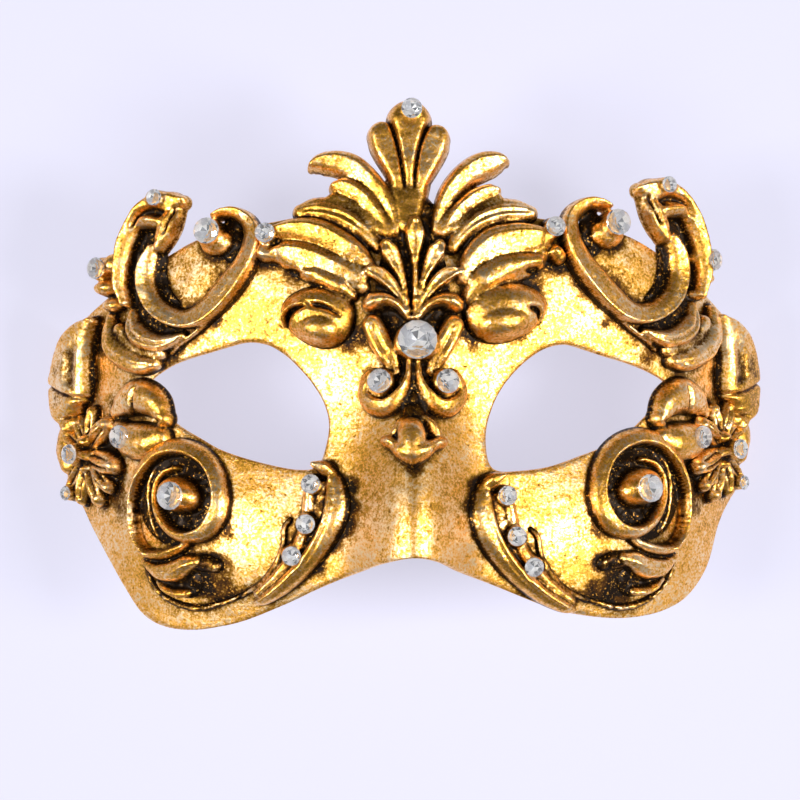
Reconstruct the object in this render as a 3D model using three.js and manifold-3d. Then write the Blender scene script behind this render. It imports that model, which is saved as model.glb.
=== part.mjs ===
import * as THREE from 'three';
import Module from 'manifold-3d';

const wasm = await Module();
wasm.setup();

// Driving dimensions in mm. The mask is drawn as a face: x to the right, y up, z out of the face.
const WRAP_WIDTH = 90;
const WRAP_DEPTH = 68;
const WRAP_END = 119.3;
const WRAP_EASE = 0.06;
const SHELL_THICKNESS = 2.5;
const GAP = 0.3;
const NOSE_HEIGHT = 17;
const NOSE_WIDTH = 10;
const SOCKET_DEPTH = 4;
const CHEEK_FULLNESS = 2.5;
const FOREHEAD_LEAN = 0.0045;
const CORE_DEPTH = 9;
const ROOT_DEPTH = 1.2;
const SHELL_ROWS = 6;
const CREST_TOP = 80;
const CHIN_DROP = 8;
const GEM_SIDES = 8;
const NARROW_STROKE = 2.2;

const GOLD = { color: 0xc8922e, metalness: 0.9, roughness: 0.36 };
const OLD_GOLD = { color: 0xb9822a, metalness: 0.9, roughness: 0.42 };
const GLASS = { color: 0xe9edf2, metalness: 0.25, roughness: 0.06 };

// The rims of the shell as [distance along the wrap, height], from left temple to right temple.
const LOWER_RIM = [
  [-119.3, -22], [-104, -26.5], [-94.4, -33.8], [-86.4, -41.2], [-79.3, -48.6], [-73, -54.6],
  [-66, -57.4], [-57.7, -58], [-50, -57], [-42, -55], [-31.5, -50.7], [-23.6, -46.8],
  [-15, -42.7], [-8, -39.6], [0, -38], [7, -39.2], [12.5, -42], [21.9, -46.2], [32.5, -50.6],
  [40, -52.9], [51.6, -54.6], [61.7, -54.6], [71.4, -53], [80, -49.6], [88.4, -42.6],
  [95, -32], [104, -26], [119.3, -22],
];
const UPPER_RIM = [
  [-119.3, 15], [-104, 19.5], [-92, 24], [-82, 28.5], [-72, 33], [-64, 36.5], [-56, 40],
  [-46, 42.5], [-36, 44], [-20, 46.5], [0, 47], [20, 46.5], [36, 45], [46, 44], [56, 42],
  [64, 39], [72, 35], [82, 30], [92, 25], [104, 20], [119.3, 15],
];
const LEFT_EYE = [
  [-20.5, -7], [-21.6, -1.3], [-24.6, 3.8], [-28.2, 7.9], [-32, 11.2], [-36.3, 13.5], [-41.5, 14.1],
  [-46.6, 13], [-52, 11.6], [-59, 9.8], [-64.5, 7.8], [-70, 4.4], [-68.8, 1], [-66, -3],
  [-60.5, -6.9], [-54.4, -9.9], [-50, -12.1], [-45.7, -13.6], [-41.4, -14.8], [-36.3, -16],
  [-29.5, -17.2], [-24.5, -17], [-22.2, -14.6],
];
const RIGHT_EYE = [
  [18.9, -15], [21.5, -17.4], [27, -17.4], [33.8, -16.6], [39, -15.2], [43.3, -13.8], [47.7, -12.4],
  [52.8, -10.6], [58.7, -7.3], [65.5, -2], [69, 1.5], [70, 4.4], [64, 7.3], [56.7, 9.5],
  [49.7, 11.2], [44.2, 12.7], [39, 13.9], [33.8, 12.9], [29.5, 10.4], [25.8, 7.1], [22.5, 3.1],
  [19.9, -1.9], [18.3, -8.2],
];

// Cross-sections of a carved stroke from one foot to the other: [place across, share of height].
const ROUND = [[1.06, null], [0.6, 1], [-0.6, 1], [-1.06, null]];
const RIDGED = [[1.06, null], [0.3, 1.05], [-1.06, null]];
const NARROW = [[1.06, null], [0, 1.05], [-1.06, null]];

// Rings of a stroke from root to tip: [place along the path, share of width, share of height].
const FORMS = {
  leaf: [[0, 0.5, 0.65], [0.35, 0.9, 0.95], [0.75, 1, 1], [1, 0.44, 0.6]],
  lobe: [[0, 0.5, 0.65], [0.28, 0.95, 1], [0.74, 1, 1], [1, 0.5, 0.6]],
  drop: [[0, 0.3, 0.72], [0.45, 0.5, 0.8], [0.8, 1, 1], [1, 0.56, 0.66]],
  petal: [[0, 0.5, 0.8], [0.7, 1, 1], [1, 0.55, 0.6]],
  dome: [[0, 0.3, 0.5], [0.3, 0.92, 0.95], [0.7, 0.92, 0.95], [1, 0.34, 0.5]],
  ground: [[0, 0.8, 1], [0.5, 1, 1], [1, 0.8, 1]],
};
const RIDGED_FORMS = ['leaf', 'petal'];
const BAND_PACE = 8.6;
const RING_PACE = 6;

// How each right-hand casting sits against the mirror image of its left-hand twin.
const RIGHT_HAND = {
  crest: { pivot: [8, 38], turn: 3, scale: 0.97, shift: [0, 0.6] },
  upper_scroll: { pivot: [42, 34], turn: 2.5, scale: 1.07, shift: [0.2, 1.9] },
  outer_knobs: { pivot: [84, 30], turn: 0, scale: 0.94, shift: [-2.6, 3] },
  temple_leaf: { pivot: [96, 8], turn: 0, scale: 1, shift: [-1, 1.5] },
  flower: { pivot: [93, -14], turn: 8, scale: 0.98, shift: [-2, 1.8] },
  eye_leaf: { pivot: [75, -4], turn: 0, scale: 1.04, shift: [2, 0.6] },
  cheek_volute: { pivot: [60, -26], turn: 2, scale: 1.06, shift: [0, 2] },
  nose_band: { pivot: [24.3, -21], turn: 7, scale: 1.04, shift: [-1.8, -2.6] },
};

function ease(t) {
  const c = Math.min(1, Math.max(0, t));
  return c * c * (3 - 2 * c);
}

function alongList(list, at) {
  let k = 1;
  while (k < list.length - 1 && list[k][0] < at) k += 1;
  const [a, va] = list[k - 1];
  const [b, vb] = list[k];
  const t = Math.min(1, Math.max(0, (at - a) / (b - a)));
  return va + (vb - va) * t;
}

function wrapAngle(u) {
  const t = u / WRAP_WIDTH;
  return t + WRAP_EASE * t ** 3;
}

const END_ANGLE = wrapAngle(WRAP_END);

// How far the forehead and the chin lean back at a height.
function lean(y) {
  const up = Math.max(0, y - 14);
  const bow = Math.min(up, 26);
  const straight = Math.max(0, up - 26);
  const down = Math.max(0, -y - 22);
  return -FOREHEAD_LEAN * bow * (bow + 2 * straight) - 0.0035 * down * down;
}

function facePoint(u, y) {
  const angle = wrapAngle(u);
  const x = WRAP_WIDTH * Math.sin(angle);
  const side = Math.abs(x);
  let z = WRAP_DEPTH * (Math.cos(angle) - Math.cos(END_ANGLE));
  z += lean(y) * Math.max(0, 1 - (u / WRAP_END) ** 2);
  const noseWidth = NOSE_WIDTH + 3.5 * ease((10 - y) / 50);
  z += NOSE_HEIGHT * ease((26 - y) / 64) * Math.exp(-((x / noseWidth) ** 2));
  z -= SOCKET_DEPTH * Math.exp(-(((side - 40) / 24) ** 2) - (y / 16) ** 2);
  z += CHEEK_FULLNESS * Math.exp(-(((side - 42) / 22) ** 2) - ((y + 36) / 16) ** 2);
  return new THREE.Vector3(x, y, z);
}

function faceNormal(u, y) {
  const across = facePoint(u + 0.1, y).sub(facePoint(u - 0.1, y));
  const upward = facePoint(u, y + 0.1).sub(facePoint(u, y - 0.1));
  return across.cross(upward).normalize();
}

// A point over the face: distance along the wrap, height up the face, distance off the surface.
function over(u, y, off) {
  return facePoint(u, y).addScaledVector(faceNormal(u, y), off);
}

function solid(points, triangles) {
  const vertProperties = new Float32Array(points.length * 3);
  points.forEach((p, i) => p.toArray(vertProperties, i * 3));
  const triVerts = new Uint32Array(triangles.flat());
  return new wasm.Manifold(new wasm.Mesh({ numProp: 3, vertProperties, triVerts }));
}

// Joins rings of equal length into a closed body, with a cap on the first and the last ring.
function loft(rings) {
  const n = rings[0].length;
  const points = rings.flat();
  const triangles = [];
  for (let k = 0; k < rings.length - 1; k += 1) {
    for (let j = 0; j < n; j += 1) {
      const a = k * n + j;
      const b = k * n + ((j + 1) % n);
      triangles.push([a, b + n, a + n], [a, b, b + n]);
    }
  }
  const last = (rings.length - 1) * n;
  for (let j = 1; j < n - 1; j += 1) {
    triangles.push([0, j + 1, j], [last, last + j, last + j + 1]);
  }
  return solid(points, triangles);
}

// Places of the shell's columns: close over the nose, wider towards the temples.
function columns() {
  const list = [0, 5, 10, 15, 21, 28];
  const step = (WRAP_END - 28) / 8;
  for (let k = 1; k <= 8; k += 1) list.push(28 + k * step);
  return [...list.slice(1).reverse().map((u) => -u), ...list];
}

function columnHeights(u, rowsAbove, rowsBelow) {
  const low = alongList(LOWER_RIM, u);
  const high = alongList(UPPER_RIM, u);
  const heights = [];
  for (let k = rowsBelow; k > 0; k -= 1) heights.push(low - (CHIN_DROP * k) / rowsBelow);
  for (let k = 0; k <= SHELL_ROWS; k += 1) heights.push(low + ((high - low) * k) / SHELL_ROWS);
  for (let k = 1; k <= rowsAbove; k += 1) heights.push(high + ((CREST_TOP - high) * k) / rowsAbove);
  return heights;
}

// A curved slab between two distances off the face; its two ends are cut level.
function slab(outer, inner, rowsAbove, rowsBelow) {
  const stations = columns();
  const rings = stations.map((u) => {
    const heights = columnHeights(u, rowsAbove, rowsBelow);
    const front = heights.map((y) => over(u, y, outer));
    const back = heights.map((y) => over(u, y, inner)).reverse();
    const ring = [...front, ...back];
    if (Math.abs(u) > WRAP_END - 0.01) ring.forEach((p) => p.setZ(0));
    return ring.reverse();
  });
  return loftSlab(rings);
}

// The slab's ends are strips of quads, so that no long thin triangles cross the curve.
function loftSlab(rings) {
  const n = rings[0].length;
  const half = n / 2;
  const points = rings.flat();
  const triangles = [];
  for (let k = 0; k < rings.length - 1; k += 1) {
    for (let j = 0; j < n; j += 1) {
      const a = k * n + j;
      const b = k * n + ((j + 1) % n);
      triangles.push([a, b + n, a + n], [a, b, b + n]);
    }
  }
  const last = (rings.length - 1) * n;
  for (let j = 0; j < half - 1; j += 1) {
    const a = j;
    const b = j + 1;
    const c = n - 1 - j;
    const d = n - 2 - j;
    triangles.push([a, d, b], [a, c, d], [last + a, last + b, last + d], [last + a, last + d, last + c]);
  }
  return solid(points, triangles);
}

// A straight plug the shape of an eye hole, fanned round its middle.
function eyeCutter(outline) {
  const rim = outline.map(([u, y]) => facePoint(u, y));
  const middle = rim.reduce((sum, p) => sum.add(p), new THREE.Vector3()).divideScalar(rim.length);
  const n = rim.length;
  const points = [];
  for (const level of [-10, 100]) points.push(...rim.map((p) => new THREE.Vector3(p.x, p.y, level)));
  for (const level of [-10, 100]) points.push(new THREE.Vector3(middle.x, middle.y, level));
  const triangles = [];
  for (let j = 0; j < n; j += 1) {
    const k = (j + 1) % n;
    triangles.push([j, k, k + n], [j, k + n, j + n], [2 * n, k, j], [2 * n + 1, j + n, k + n]);
  }
  return solid(points, triangles);
}

// Moves a left-hand drawing point, given outward from the middle, to its side of the face.
function placed([s, y], side, name) {
  if (side < 0) return [-s, y];
  const hand = RIGHT_HAND[name];
  if (!hand) return [s, y];
  const turn = THREE.MathUtils.degToRad(hand.turn);
  const ds = (s - hand.pivot[0]) * hand.scale;
  const dy = (y - hand.pivot[1]) * hand.scale;
  return [
    hand.pivot[0] + hand.shift[0] + ds * Math.cos(turn) - dy * Math.sin(turn),
    hand.pivot[1] + hand.shift[1] + ds * Math.sin(turn) + dy * Math.cos(turn),
  ];
}

// Bands and rings keep one width, and their rings are spaced by length; a band's ends are drawn in.
function ringsOf(formName, length) {
  if (FORMS[formName]) return FORMS[formName];
  const pace = formName === 'ring' ? RING_PACE : BAND_PACE;
  const drawnIn = formName === 'ring' ? 1 : 0.6;
  const steps = Math.max(2, Math.round(length / pace));
  const rings = [];
  for (let k = 0; k <= steps; k += 1) {
    const share = k === 0 || k === steps ? drawnIn : 1;
    rings.push([k / steps, share, share]);
  }
  return rings;
}

// A carved stroke over the face: a form drawn along a path, with its greatest half width and height.
function stroke([formName, path, width, height], side, name, grow = 0) {
  const spots = path.map((p) => placed(p, side, name));
  const curve = new THREE.CatmullRomCurve3(spots.map(([u, y]) => new THREE.Vector3(u, y, 0)));
  const plain = width < NARROW_STROKE ? NARROW : ROUND;
  const section = RIDGED_FORMS.includes(formName) ? RIDGED : plain;
  const turns = side < 0 ? section.map(([a, b]) => [-a, b]).reverse() : section;
  const rings = ringsOf(formName, curve.getLength()).map(([t, wide, high]) => {
    const centre = curve.getPoint(t);
    const ahead = curve.getTangent(t);
    if (t === 0) centre.addScaledVector(ahead, -grow);
    if (t === 1) centre.addScaledVector(ahead, grow);
    const w = width * wide + grow;
    const h = height * high + grow;
    return turns.map(([place, share]) => {
      const u = centre.x - ahead.y * w * place;
      const y = centre.y + ahead.x * w * place;
      return over(u, y, share === null ? -ROOT_DEPTH : h * share);
    });
  });
  return loft(rings);
}

// Points along a coil round a centre, from one [radius, degrees] to another.
function coil(centre, [startRadius, startAngle], [endRadius, endAngle]) {
  const points = [];
  for (let k = 0; k <= 6; k += 1) {
    const angle = THREE.MathUtils.degToRad(startAngle + ((endAngle - startAngle) * k) / 6);
    const radius = startRadius + ((endRadius - startRadius) * k) / 6;
    points.push([centre[0] + radius * Math.cos(angle), centre[1] + radius * Math.sin(angle)]);
  }
  return points;
}

// A turned body standing on the face: rings of [radius, distance off the face].
function turned([u, y], rings, sides = GEM_SIDES) {
  const centre = facePoint(u, y);
  const axis = faceNormal(u, y);
  const east = new THREE.Vector3(0, 1, 0).cross(axis).normalize();
  const north = axis.clone().cross(east);
  const circles = rings.map(([radius, off]) => {
    const circle = [];
    for (let k = 0; k < sides; k += 1) {
      const angle = (2 * Math.PI * (k + 0.5)) / sides;
      const spot = centre.clone().addScaledVector(axis, off);
      spot.addScaledVector(east, radius * Math.cos(angle));
      spot.addScaledVector(north, radius * Math.sin(angle));
      circle.push(spot);
    }
    return circle;
  });
  return loft(circles);
}

// A stone with a flat table and a flat back.
function stone(spot, radius, seat) {
  return turned(spot, [[radius, seat], [radius * 0.56, seat + radius * 0.42]]);
}

// The knob under a stone; its top stays clear of the stone's back.
function knob(spot, radius, seat, grow = 0) {
  const foot = radius + 0.9 + grow;
  return turned(spot, [[foot, -ROOT_DEPTH], [foot - 0.5, seat - GAP + grow]], 6);
}

// Strokes are [form, path outward from the middle, half width, height].
const CREST_MIDDLE = [
  ['ground', [[0, 12], [0, 34], [-0.6, 54]], 9.5, 2.2],
  ['ground', [[-0.6, 50], [-0.7, 58], [-0.7, 67]], 7.4, 3.2],
  ['drop', [[-0.9, 50], [-0.8, 59], [-0.7, 67], [-0.6, 74.2]], 6, 7],
  ['drop', [[-2.2, 48], [-4.8, 58], [-7.8, 68.6]], 3.8, 5.4],
  ['drop', [[1, 48], [3.4, 58], [6.2, 68]], 3.8, 5.4],
  ['drop', [[0.4, 19.5], [0.4, 32], [0.3, 44.2]], 2.7, 6.6],
  ['band', [[0.3, 14], [0.3, 4], [0.2, -4]], 2.4, 3.8],
  ['dome', [[-0.2, -3.6], [-0.3, -9.4], [-0.2, -15.8]], 2.8, 4.4],
  ['lobe', [[-0.6, -4], [-2.4, -8], [-5, -10.8]], 1.9, 3.2],
  ['lobe', [[0.6, -4], [2.6, -8], [5.4, -10.8]], 1.9, 3.2],
];
const CREST_SIDE = [
  ['leaf', [[3.6, 41], [8, 51.5], [15, 58.4], [25, 57.6]], 3.1, 5.2],
  ['leaf', [[7, 40], [10, 47], [15, 52.4], [20.6, 52.2]], 2.5, 4.6],
  ['lobe', [[8.5, 37.5], [14, 44.4], [22, 47.8], [30.4, 46.6]], 3, 4],
  ['leaf', [[10.4, 30], [15.4, 36.6], [23.6, 40.4], [35, 39.8]], 4.4, 5.8],
  ['leaf', [[12.5, 26], [17.6, 30.8], [25.4, 34.4], [35, 35.2]], 3.6, 5],
  ['dome', [[10.6, 19], [18, 20.8], [26, 22], [34, 21.4]], 7.6, 5.6],
  ['dome', [[15.5, 17.4], [22, 18.6], [29.6, 18.2]], 4.2, 7.2],
  ['ground', [[2, 30], [15, 29], [30, 33]], 5.5, 2],
  ['ground', [[4, 42], [12, 46], [20, 50]], 5.5, 2.2],
];
const PALMETTE_SIDE = [
  ['drop', [[0.6, 20], [3.4, 32], [7.2, 39.2]], 2.4, 6.3],
  ['drop', [[0.9, 20], [4.6, 28.6], [10.6, 32]], 2.4, 6.1],
  ['drop', [[1.2, 19.5], [5, 24], [12.4, 23.8]], 2.7, 6.3],
  ['band', [[10.4, 20], [6.8, 13.2], [3.4, 6.8]], 2.3, 4.7],
  ['band', [[0.7, 9.5], [0.9, 4.5], [2.6, 0.2]], 1.2, 4.3],
  ['ring', coil([6.8, 2.4], [4.7, -155], [4.4, 75]), 2, 4.5],
];
const UPPER_SCROLL = [
  ['band', [[67.2, 37.5], [71.2, 30], [66.4, 21.6], [58, 20]], 2.7, 5.4],
  ['band', [[62, 20], [55, 21], [46.8, 28.4], [40.4, 39.4]], 3.2, 5.3],
  ['ring', coil([46.6, 40.4], [6.2, 195], [5.8, 45]), 1.8, 5.5],
  ['lobe', [[59.6, 49.2], [67, 49], [74.6, 41]], 3.6, 6.6],
  ['lobe', [[72, 43.6], [76.6, 36], [77.6, 29], [75.6, 22]], 2.6, 5.6],
  ['lobe', [[61, 49], [64, 42.6], [66.6, 36.8]], 3.2, 5],
  ['ground', [[63, 44], [70, 42], [75, 36]], 4.4, 1.6],
  ['lobe', [[76.6, 23.6], [74.4, 17.4], [68.6, 14.6], [60, 15.6]], 2.9, 4.8],
  ['lobe', [[84.4, 22.4], [82.6, 14], [75.4, 9.6], [66, 9.4]], 3.8, 5],
  ['band', [[41, 33.6], [50, 24.6], [59, 16.2], [68.5, 10.4]], 1.5, 2.8],
  ['ground', [[75, 38], [75.5, 27], [70, 17]], 5, 1.6],
];
const OUTER_KNOBS = [
  ['lobe', [[78, 36.4], [84, 33.8], [87.4, 30]], 2.8, 4.2],
  ['lobe', [[77, 27.6], [90.6, 27.2]], 2.1, 4.4],
  ['lobe', [[77, 22.8], [89, 23.2]], 1.7, 3.4],
];
const TEMPLE_LEAF = [
  ['leaf', [[91.6, 20.6], [98.4, 14.6], [100, 5], [98, -3]], 5, 5.6],
  ['leaf', [[97, 20], [107.6, 12.4], [109.4, 0], [102, -8]], 3.7, 7],
  ['lobe', [[98, 3], [102.6, -1], [107, 2]], 2.8, 6],
];
const EYE_LEAF = [
  ['lobe', [[64.2, -3], [68.6, 0.4], [75, 1], [82.6, -3.6]], 4.2, 4.6],
  ['ground', [[67.6, -4.6], [73, -4.8], [79.6, -5.4]], 3.4, 2.2],
  ['lobe', [[63.6, -9.4], [70, -10.8], [77, -10.4], [83.6, -7.4]], 4.6, 4.8],
];
const CHEEK_MIDDLE = [60.5, -24.4];
const CHEEK_VOLUTE = [
  ['ring', coil(CHEEK_MIDDLE, [13.8, -12], [12.2, 100]), 2.1, 5.2],
  ['ring', coil(CHEEK_MIDDLE, [12.2, 95], [12.2, 190]), 2, 5.2],
  ['ring', coil(CHEEK_MIDDLE, [12.2, 184], [8.8, 290]), 1.8, 5],
  ['band', coil(CHEEK_MIDDLE, [9, 280], [6.4, 415]), 1.4, 4.8],
  ['band', [[74, -25.5], [75.2, -31], [73, -38]], 1.8, 4.2],
  ['ground', [[58, -24.4], [60.6, -24.4], [63, -24.4]], 10.6, 1.3],
  ['lobe', [[73, -37], [66, -40.2], [55.8, -36.2]], 1.6, 3.4],
  ['lobe', [[73, -38.4], [65, -43.8], [48, -40.6]], 2.4, 4.2],
  ['lobe', [[73.2, -37.4], [67.6, -46.6], [60.6, -49]], 1.5, 2.6],
  ['band', [[68.6, -45], [60, -51.4], [45.6, -50.2]], 1.4, 2],
];
const NOSE_BAND = [
  ['leaf', [[21.4, -16.4], [17.8, -24], [22, -35.4], [28.6, -42.4]], 3, 5.2],
  ['leaf', [[24, -37.6], [31.6, -44.8], [45.4, -51]], 2.4, 4.2],
  ['band', [[24.2, -17.4], [24.4, -28]], 2.4, 3.2],
  ['leaf', [[25, -26], [27.4, -36], [40, -48.6]], 2.4, 3.5],
  ['leaf', [[30.8, -29.4], [30.6, -39], [44, -49.4]], 2, 3],
];

// Petals in a ring round a raised bud.
function petals(centre, count, reach) {
  const strokes = [];
  for (let k = 0; k < count; k += 1) {
    const angle = (2 * Math.PI * (k + 0.83)) / count;
    const path = [0.2, 0.6, 1].map((part) => [
      centre[0] + reach * part * Math.cos(angle),
      centre[1] + reach * part * Math.sin(angle),
    ]);
    strokes.push(['petal', path, 4, 5.2]);
  }
  return strokes;
}

const FLOWER_MIDDLE = [93.6, -14.2];
const FLOWER = petals(FLOWER_MIDDLE, 8, 13.6);

// Stones: [label, where, radius, height of its back off the face].
const CREST_STONES = [
  ['top', [-0.3, 70.8], 2.6, 7.4],
  ['centre', [0.7, 13.7], 4.8, 6.6],
];
const SIDE_STONES = {
  crest: [['leaf', [35.9, 40.3], 2.5, 5.6]],
  middle: [['curl', [6.9, 4], 3, 4.8]],
  upper_scroll: [
    ['horn', [65.8, 49.8], 2.1, 7.2],
    ['volute', [50.6, 40.8], 3.3, 7.4],
  ],
  outer_knobs: [['outer', [86.4, 33], 2.8, 6]],
  flower: [['bud', FLOWER_MIDDLE, 2.6, 9.4], ['petal', [101.4, -24.4], 1.9, 5.8]],
  eye_leaf: [['eye', [77.8, -9.6], 2.9, 5.4]],
  cheek_volute: [['cheek', [59.6, -24.4], 3.5, 8.2]],
  nose_band: [
    ['upper', [24.3, -21], 2.4, 4.4],
    ['middle', [25.6, -30.4], 2.4, 4.6],
    ['lower', [29.2, -37.8], 2.4, 4.6],
  ],
};

function joined(solids) {
  return solids.reduce((whole, next) => whole.add(next));
}

const core = slab(GAP, -CORE_DEPTH, 4, 1);
const eyes = eyeCutter(LEFT_EYE).add(eyeCutter(RIGHT_EYE));
const shell = slab(0, -SHELL_THICKNESS, 0, 0).subtract(eyes);

const castings = {};
const stones = {};

function handed(side) {
  return side < 0 ? '_left' : '_right';
}

function pieces(strokes, side, name, grow = 0) {
  const knobs = (SIDE_STONES[name] ?? []).map(([, at, radius, seat]) => (
    knob(placed(at, side, name), radius, seat, grow)
  ));
  return [...strokes.map((s) => stroke(s, side, name, grow)), ...knobs];
}

const crestPieces = CREST_MIDDLE.map((s) => stroke(s, 1, 'middle'));
for (const [label, at, radius, seat] of CREST_STONES) {
  crestPieces.push(knob(at, radius, seat));
  stones[`rhinestone_${label}`] = stone(at, radius, seat);
}
for (const side of [-1, 1]) {
  crestPieces.push(...pieces(PALMETTE_SIDE, side, 'middle'));
  crestPieces.push(...pieces(CREST_SIDE, side, 'crest'));
  for (const [name, list] of Object.entries(SIDE_STONES)) {
    for (const [label, at, radius, seat] of list) {
      stones[`rhinestone_${label}${handed(side)}`] = stone(placed(at, side, name), radius, seat);
    }
  }
}
castings.crest = joined(crestPieces).subtract(core);

const SIDE_CASTINGS = {
  crest: CREST_SIDE,
  upper_scroll: UPPER_SCROLL,
  temple_leaf: TEMPLE_LEAF,
  flower: FLOWER,
  eye_leaf: EYE_LEAF,
  cheek_volute: CHEEK_VOLUTE,
  nose_band: NOSE_BAND,
};
// Castings that lie under others are cut back where the upper ones pass over them.
const UNDER = {
  upper_scroll: ['crest'],
  temple_leaf: ['flower', 'upper_scroll'],
  eye_leaf: ['flower'],
  cheek_volute: ['flower', 'eye_leaf', 'nose_band'],
};
for (const side of [-1, 1]) {
  for (const [name, strokes] of Object.entries(SIDE_CASTINGS)) {
    if (name === 'crest') continue;
    let body = joined(pieces(strokes, side, name));
    if (name === 'upper_scroll') body = body.add(joined(pieces(OUTER_KNOBS, side, 'outer_knobs')));
    body = body.subtract(core);
    for (const upper of UNDER[name] ?? []) {
      body = body.subtract(joined(pieces(SIDE_CASTINGS[upper], side, upper, GAP)));
    }
    castings[name + handed(side)] = body;
  }
}

const group = new THREE.Group();
group.name = 'colombina_mask';

function addMesh(name, body, looks) {
  const mesh = body.getMesh();
  const geometry = new THREE.BufferGeometry();
  const positions = new Float32Array(mesh.vertProperties);
  geometry.setAttribute('position', new THREE.BufferAttribute(positions, 3));
  geometry.setIndex(new THREE.BufferAttribute(new Uint32Array(mesh.triVerts), 1));
  geometry.computeVertexNormals();
  const node = new THREE.Mesh(geometry, new THREE.MeshStandardMaterial(looks));
  node.name = name;
  group.add(node);
}

addMesh('shell', shell, GOLD);
for (const [name, body] of Object.entries(castings)) addMesh(name, body, OLD_GOLD);
for (const [name, body] of Object.entries(stones)) addMesh(name, body, GLASS);

// The mask lies face up on the level ends of its temples, centred on the origin.
const box = new THREE.Box3().setFromObject(group);
const middle = box.getCenter(new THREE.Vector3());
for (const node of group.children) node.geometry.translate(-middle.x, -middle.y, -box.min.z);

export default group;
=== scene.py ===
import math

import bpy
import numpy as np
from mathutils import Matrix, Vector


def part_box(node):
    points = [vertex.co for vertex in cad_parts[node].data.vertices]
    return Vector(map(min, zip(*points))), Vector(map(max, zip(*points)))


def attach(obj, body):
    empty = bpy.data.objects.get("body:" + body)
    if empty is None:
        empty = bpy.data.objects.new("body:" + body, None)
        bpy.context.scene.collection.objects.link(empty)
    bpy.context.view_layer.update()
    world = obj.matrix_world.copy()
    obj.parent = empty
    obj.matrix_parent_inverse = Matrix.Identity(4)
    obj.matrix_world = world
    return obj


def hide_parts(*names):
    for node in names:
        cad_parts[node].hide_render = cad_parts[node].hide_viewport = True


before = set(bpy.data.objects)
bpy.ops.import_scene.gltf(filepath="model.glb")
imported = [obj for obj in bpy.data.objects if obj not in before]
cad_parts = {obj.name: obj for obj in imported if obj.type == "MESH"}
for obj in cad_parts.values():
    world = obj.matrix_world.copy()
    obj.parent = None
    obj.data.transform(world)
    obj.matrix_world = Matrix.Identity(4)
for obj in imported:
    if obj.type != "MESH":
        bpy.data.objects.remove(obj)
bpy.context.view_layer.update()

# Sizes in mm. The mask is drawn as a face: u runs along the wrap, y up the face,
# and a height is taken straight off the surface. In the tables "outward" is u without its sign.
MM = 0.001
WRAP_WIDTH = 90.0
WRAP_DEPTH = 68.0
WRAP_END = 119.3
WRAP_EASE = 0.06
SHELL_THICKNESS = 2.5
NOSE_HEIGHT = 17.0
NOSE_TOP = 26
NOSE_RUN = 64
NOSE_WIDTH = 10.0
NOSE_FLARE = 3.5
NOSE_FLARE_TOP = 10
NOSE_FLARE_RUN = 50
SOCKET_DEPTH = 4.0
CHEEK_FULLNESS = 2.5
# Soft mounds: (outward, up, half width, half height).
SOCKET = (40, 0, 24, 16)
CHEEK = (42, -36, 22, 16)
FOREHEAD_LEAN = 0.0045
FOREHEAD_START = 14
FOREHEAD_BOW = 26
CHIN_LEAN = 0.0035
CHIN_START = 22
BROW_TOP = 47.0

# The meshes: grid pitches, the shell's reach down and up, how far a casting's back runs into
# the shell, and its thinnest edge.
SHELL_PITCH = 0.9
SHELL_SPAN = (-62, 50)
RELIEF_PITCH = 0.34
RELIEF_MARGIN = 3
BACK_DEPTH = 0.25
THIN_EDGE = 0.25
OUTSIDE = -9.0
RIM_STEPS = 600
EYE_STEPS = 120
STROKE_STEPS = 90

# The hand-made surface of a casting.
HAND_WOBBLE = 0.13
GRAIN = 0.09
GROUND_ROUGHNESS = 0.3
PIT_DEPTH = 0.25
FLUTE_FADE = 0.12
EGG_TAPER = 0.22
KNOB_RIM = 0.35
KNOB_GAP = 0.3
# Radii over which a relief is smoothed, and over which its hollows are looked for.
SMOOTHING = 0.28
FINE_HOLLOW = 0.5
SOFT_HOLLOW = 1.2

# How dark a casting's back and the shell's inside are left by the wax, how much of a casting's wax
# and painted shade its rim keeps, and how much lighter an edge that stands clear above the brow is
# left.
BACK_TONE = 0.25
RIM_TONE = 0.6
INSIDE_TONE = 0.12
CLEAR_EDGE_LIGHTENING = 0.6

# The shell's edge, from front to back: (how far out, how deep). The paper starts at band 3.
EDGE_RINGS = ((0.3, 0.18), (0.45, 0.7), (0.45, 1.8), (0.3, 2.3))
EDGE_INSET = 0.45
PAPER_BAND = 3

LOWER_RIM = [
    (-119.3, -22), (-104, -26.5), (-94.4, -33.8), (-86.4, -41.2), (-79.3, -48.6), (-73, -54.6),
    (-66, -57.4), (-57.7, -58), (-50, -57), (-42, -55), (-31.5, -50.7), (-23.6, -46.8),
    (-15, -42.7), (-8, -39.6), (0, -38), (7, -39.2), (12.5, -42), (21.9, -46.2), (32.5, -50.6),
    (40, -52.9), (51.6, -54.6), (61.7, -54.6), (71.4, -53), (80, -49.6), (88.4, -42.6),
    (95, -32), (104, -26), (119.3, -22),
]
UPPER_RIM = [
    (-119.3, 15), (-104, 19.5), (-92, 24), (-82, 28.5), (-72, 33), (-64, 36.5), (-56, 40),
    (-46, 42.5), (-36, 44), (-20, 46.5), (0, 47), (20, 46.5), (36, 45), (46, 44), (56, 42),
    (64, 39), (72, 35), (82, 30), (92, 25), (104, 20), (119.3, 15),
]
LEFT_EYE = [
    (-20.5, -7), (-21.6, -1.3), (-24.6, 3.8), (-28.2, 7.9), (-32, 11.2), (-36.3, 13.5),
    (-41.5, 14.1), (-46.6, 13), (-52, 11.6), (-59, 9.8), (-64.5, 7.8), (-70, 4.4), (-68.8, 1),
    (-66, -3), (-60.5, -6.9), (-54.4, -9.9), (-50, -12.1), (-45.7, -13.6), (-41.4, -14.8),
    (-36.3, -16), (-29.5, -17.2), (-24.5, -17), (-22.2, -14.6),
]
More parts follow.
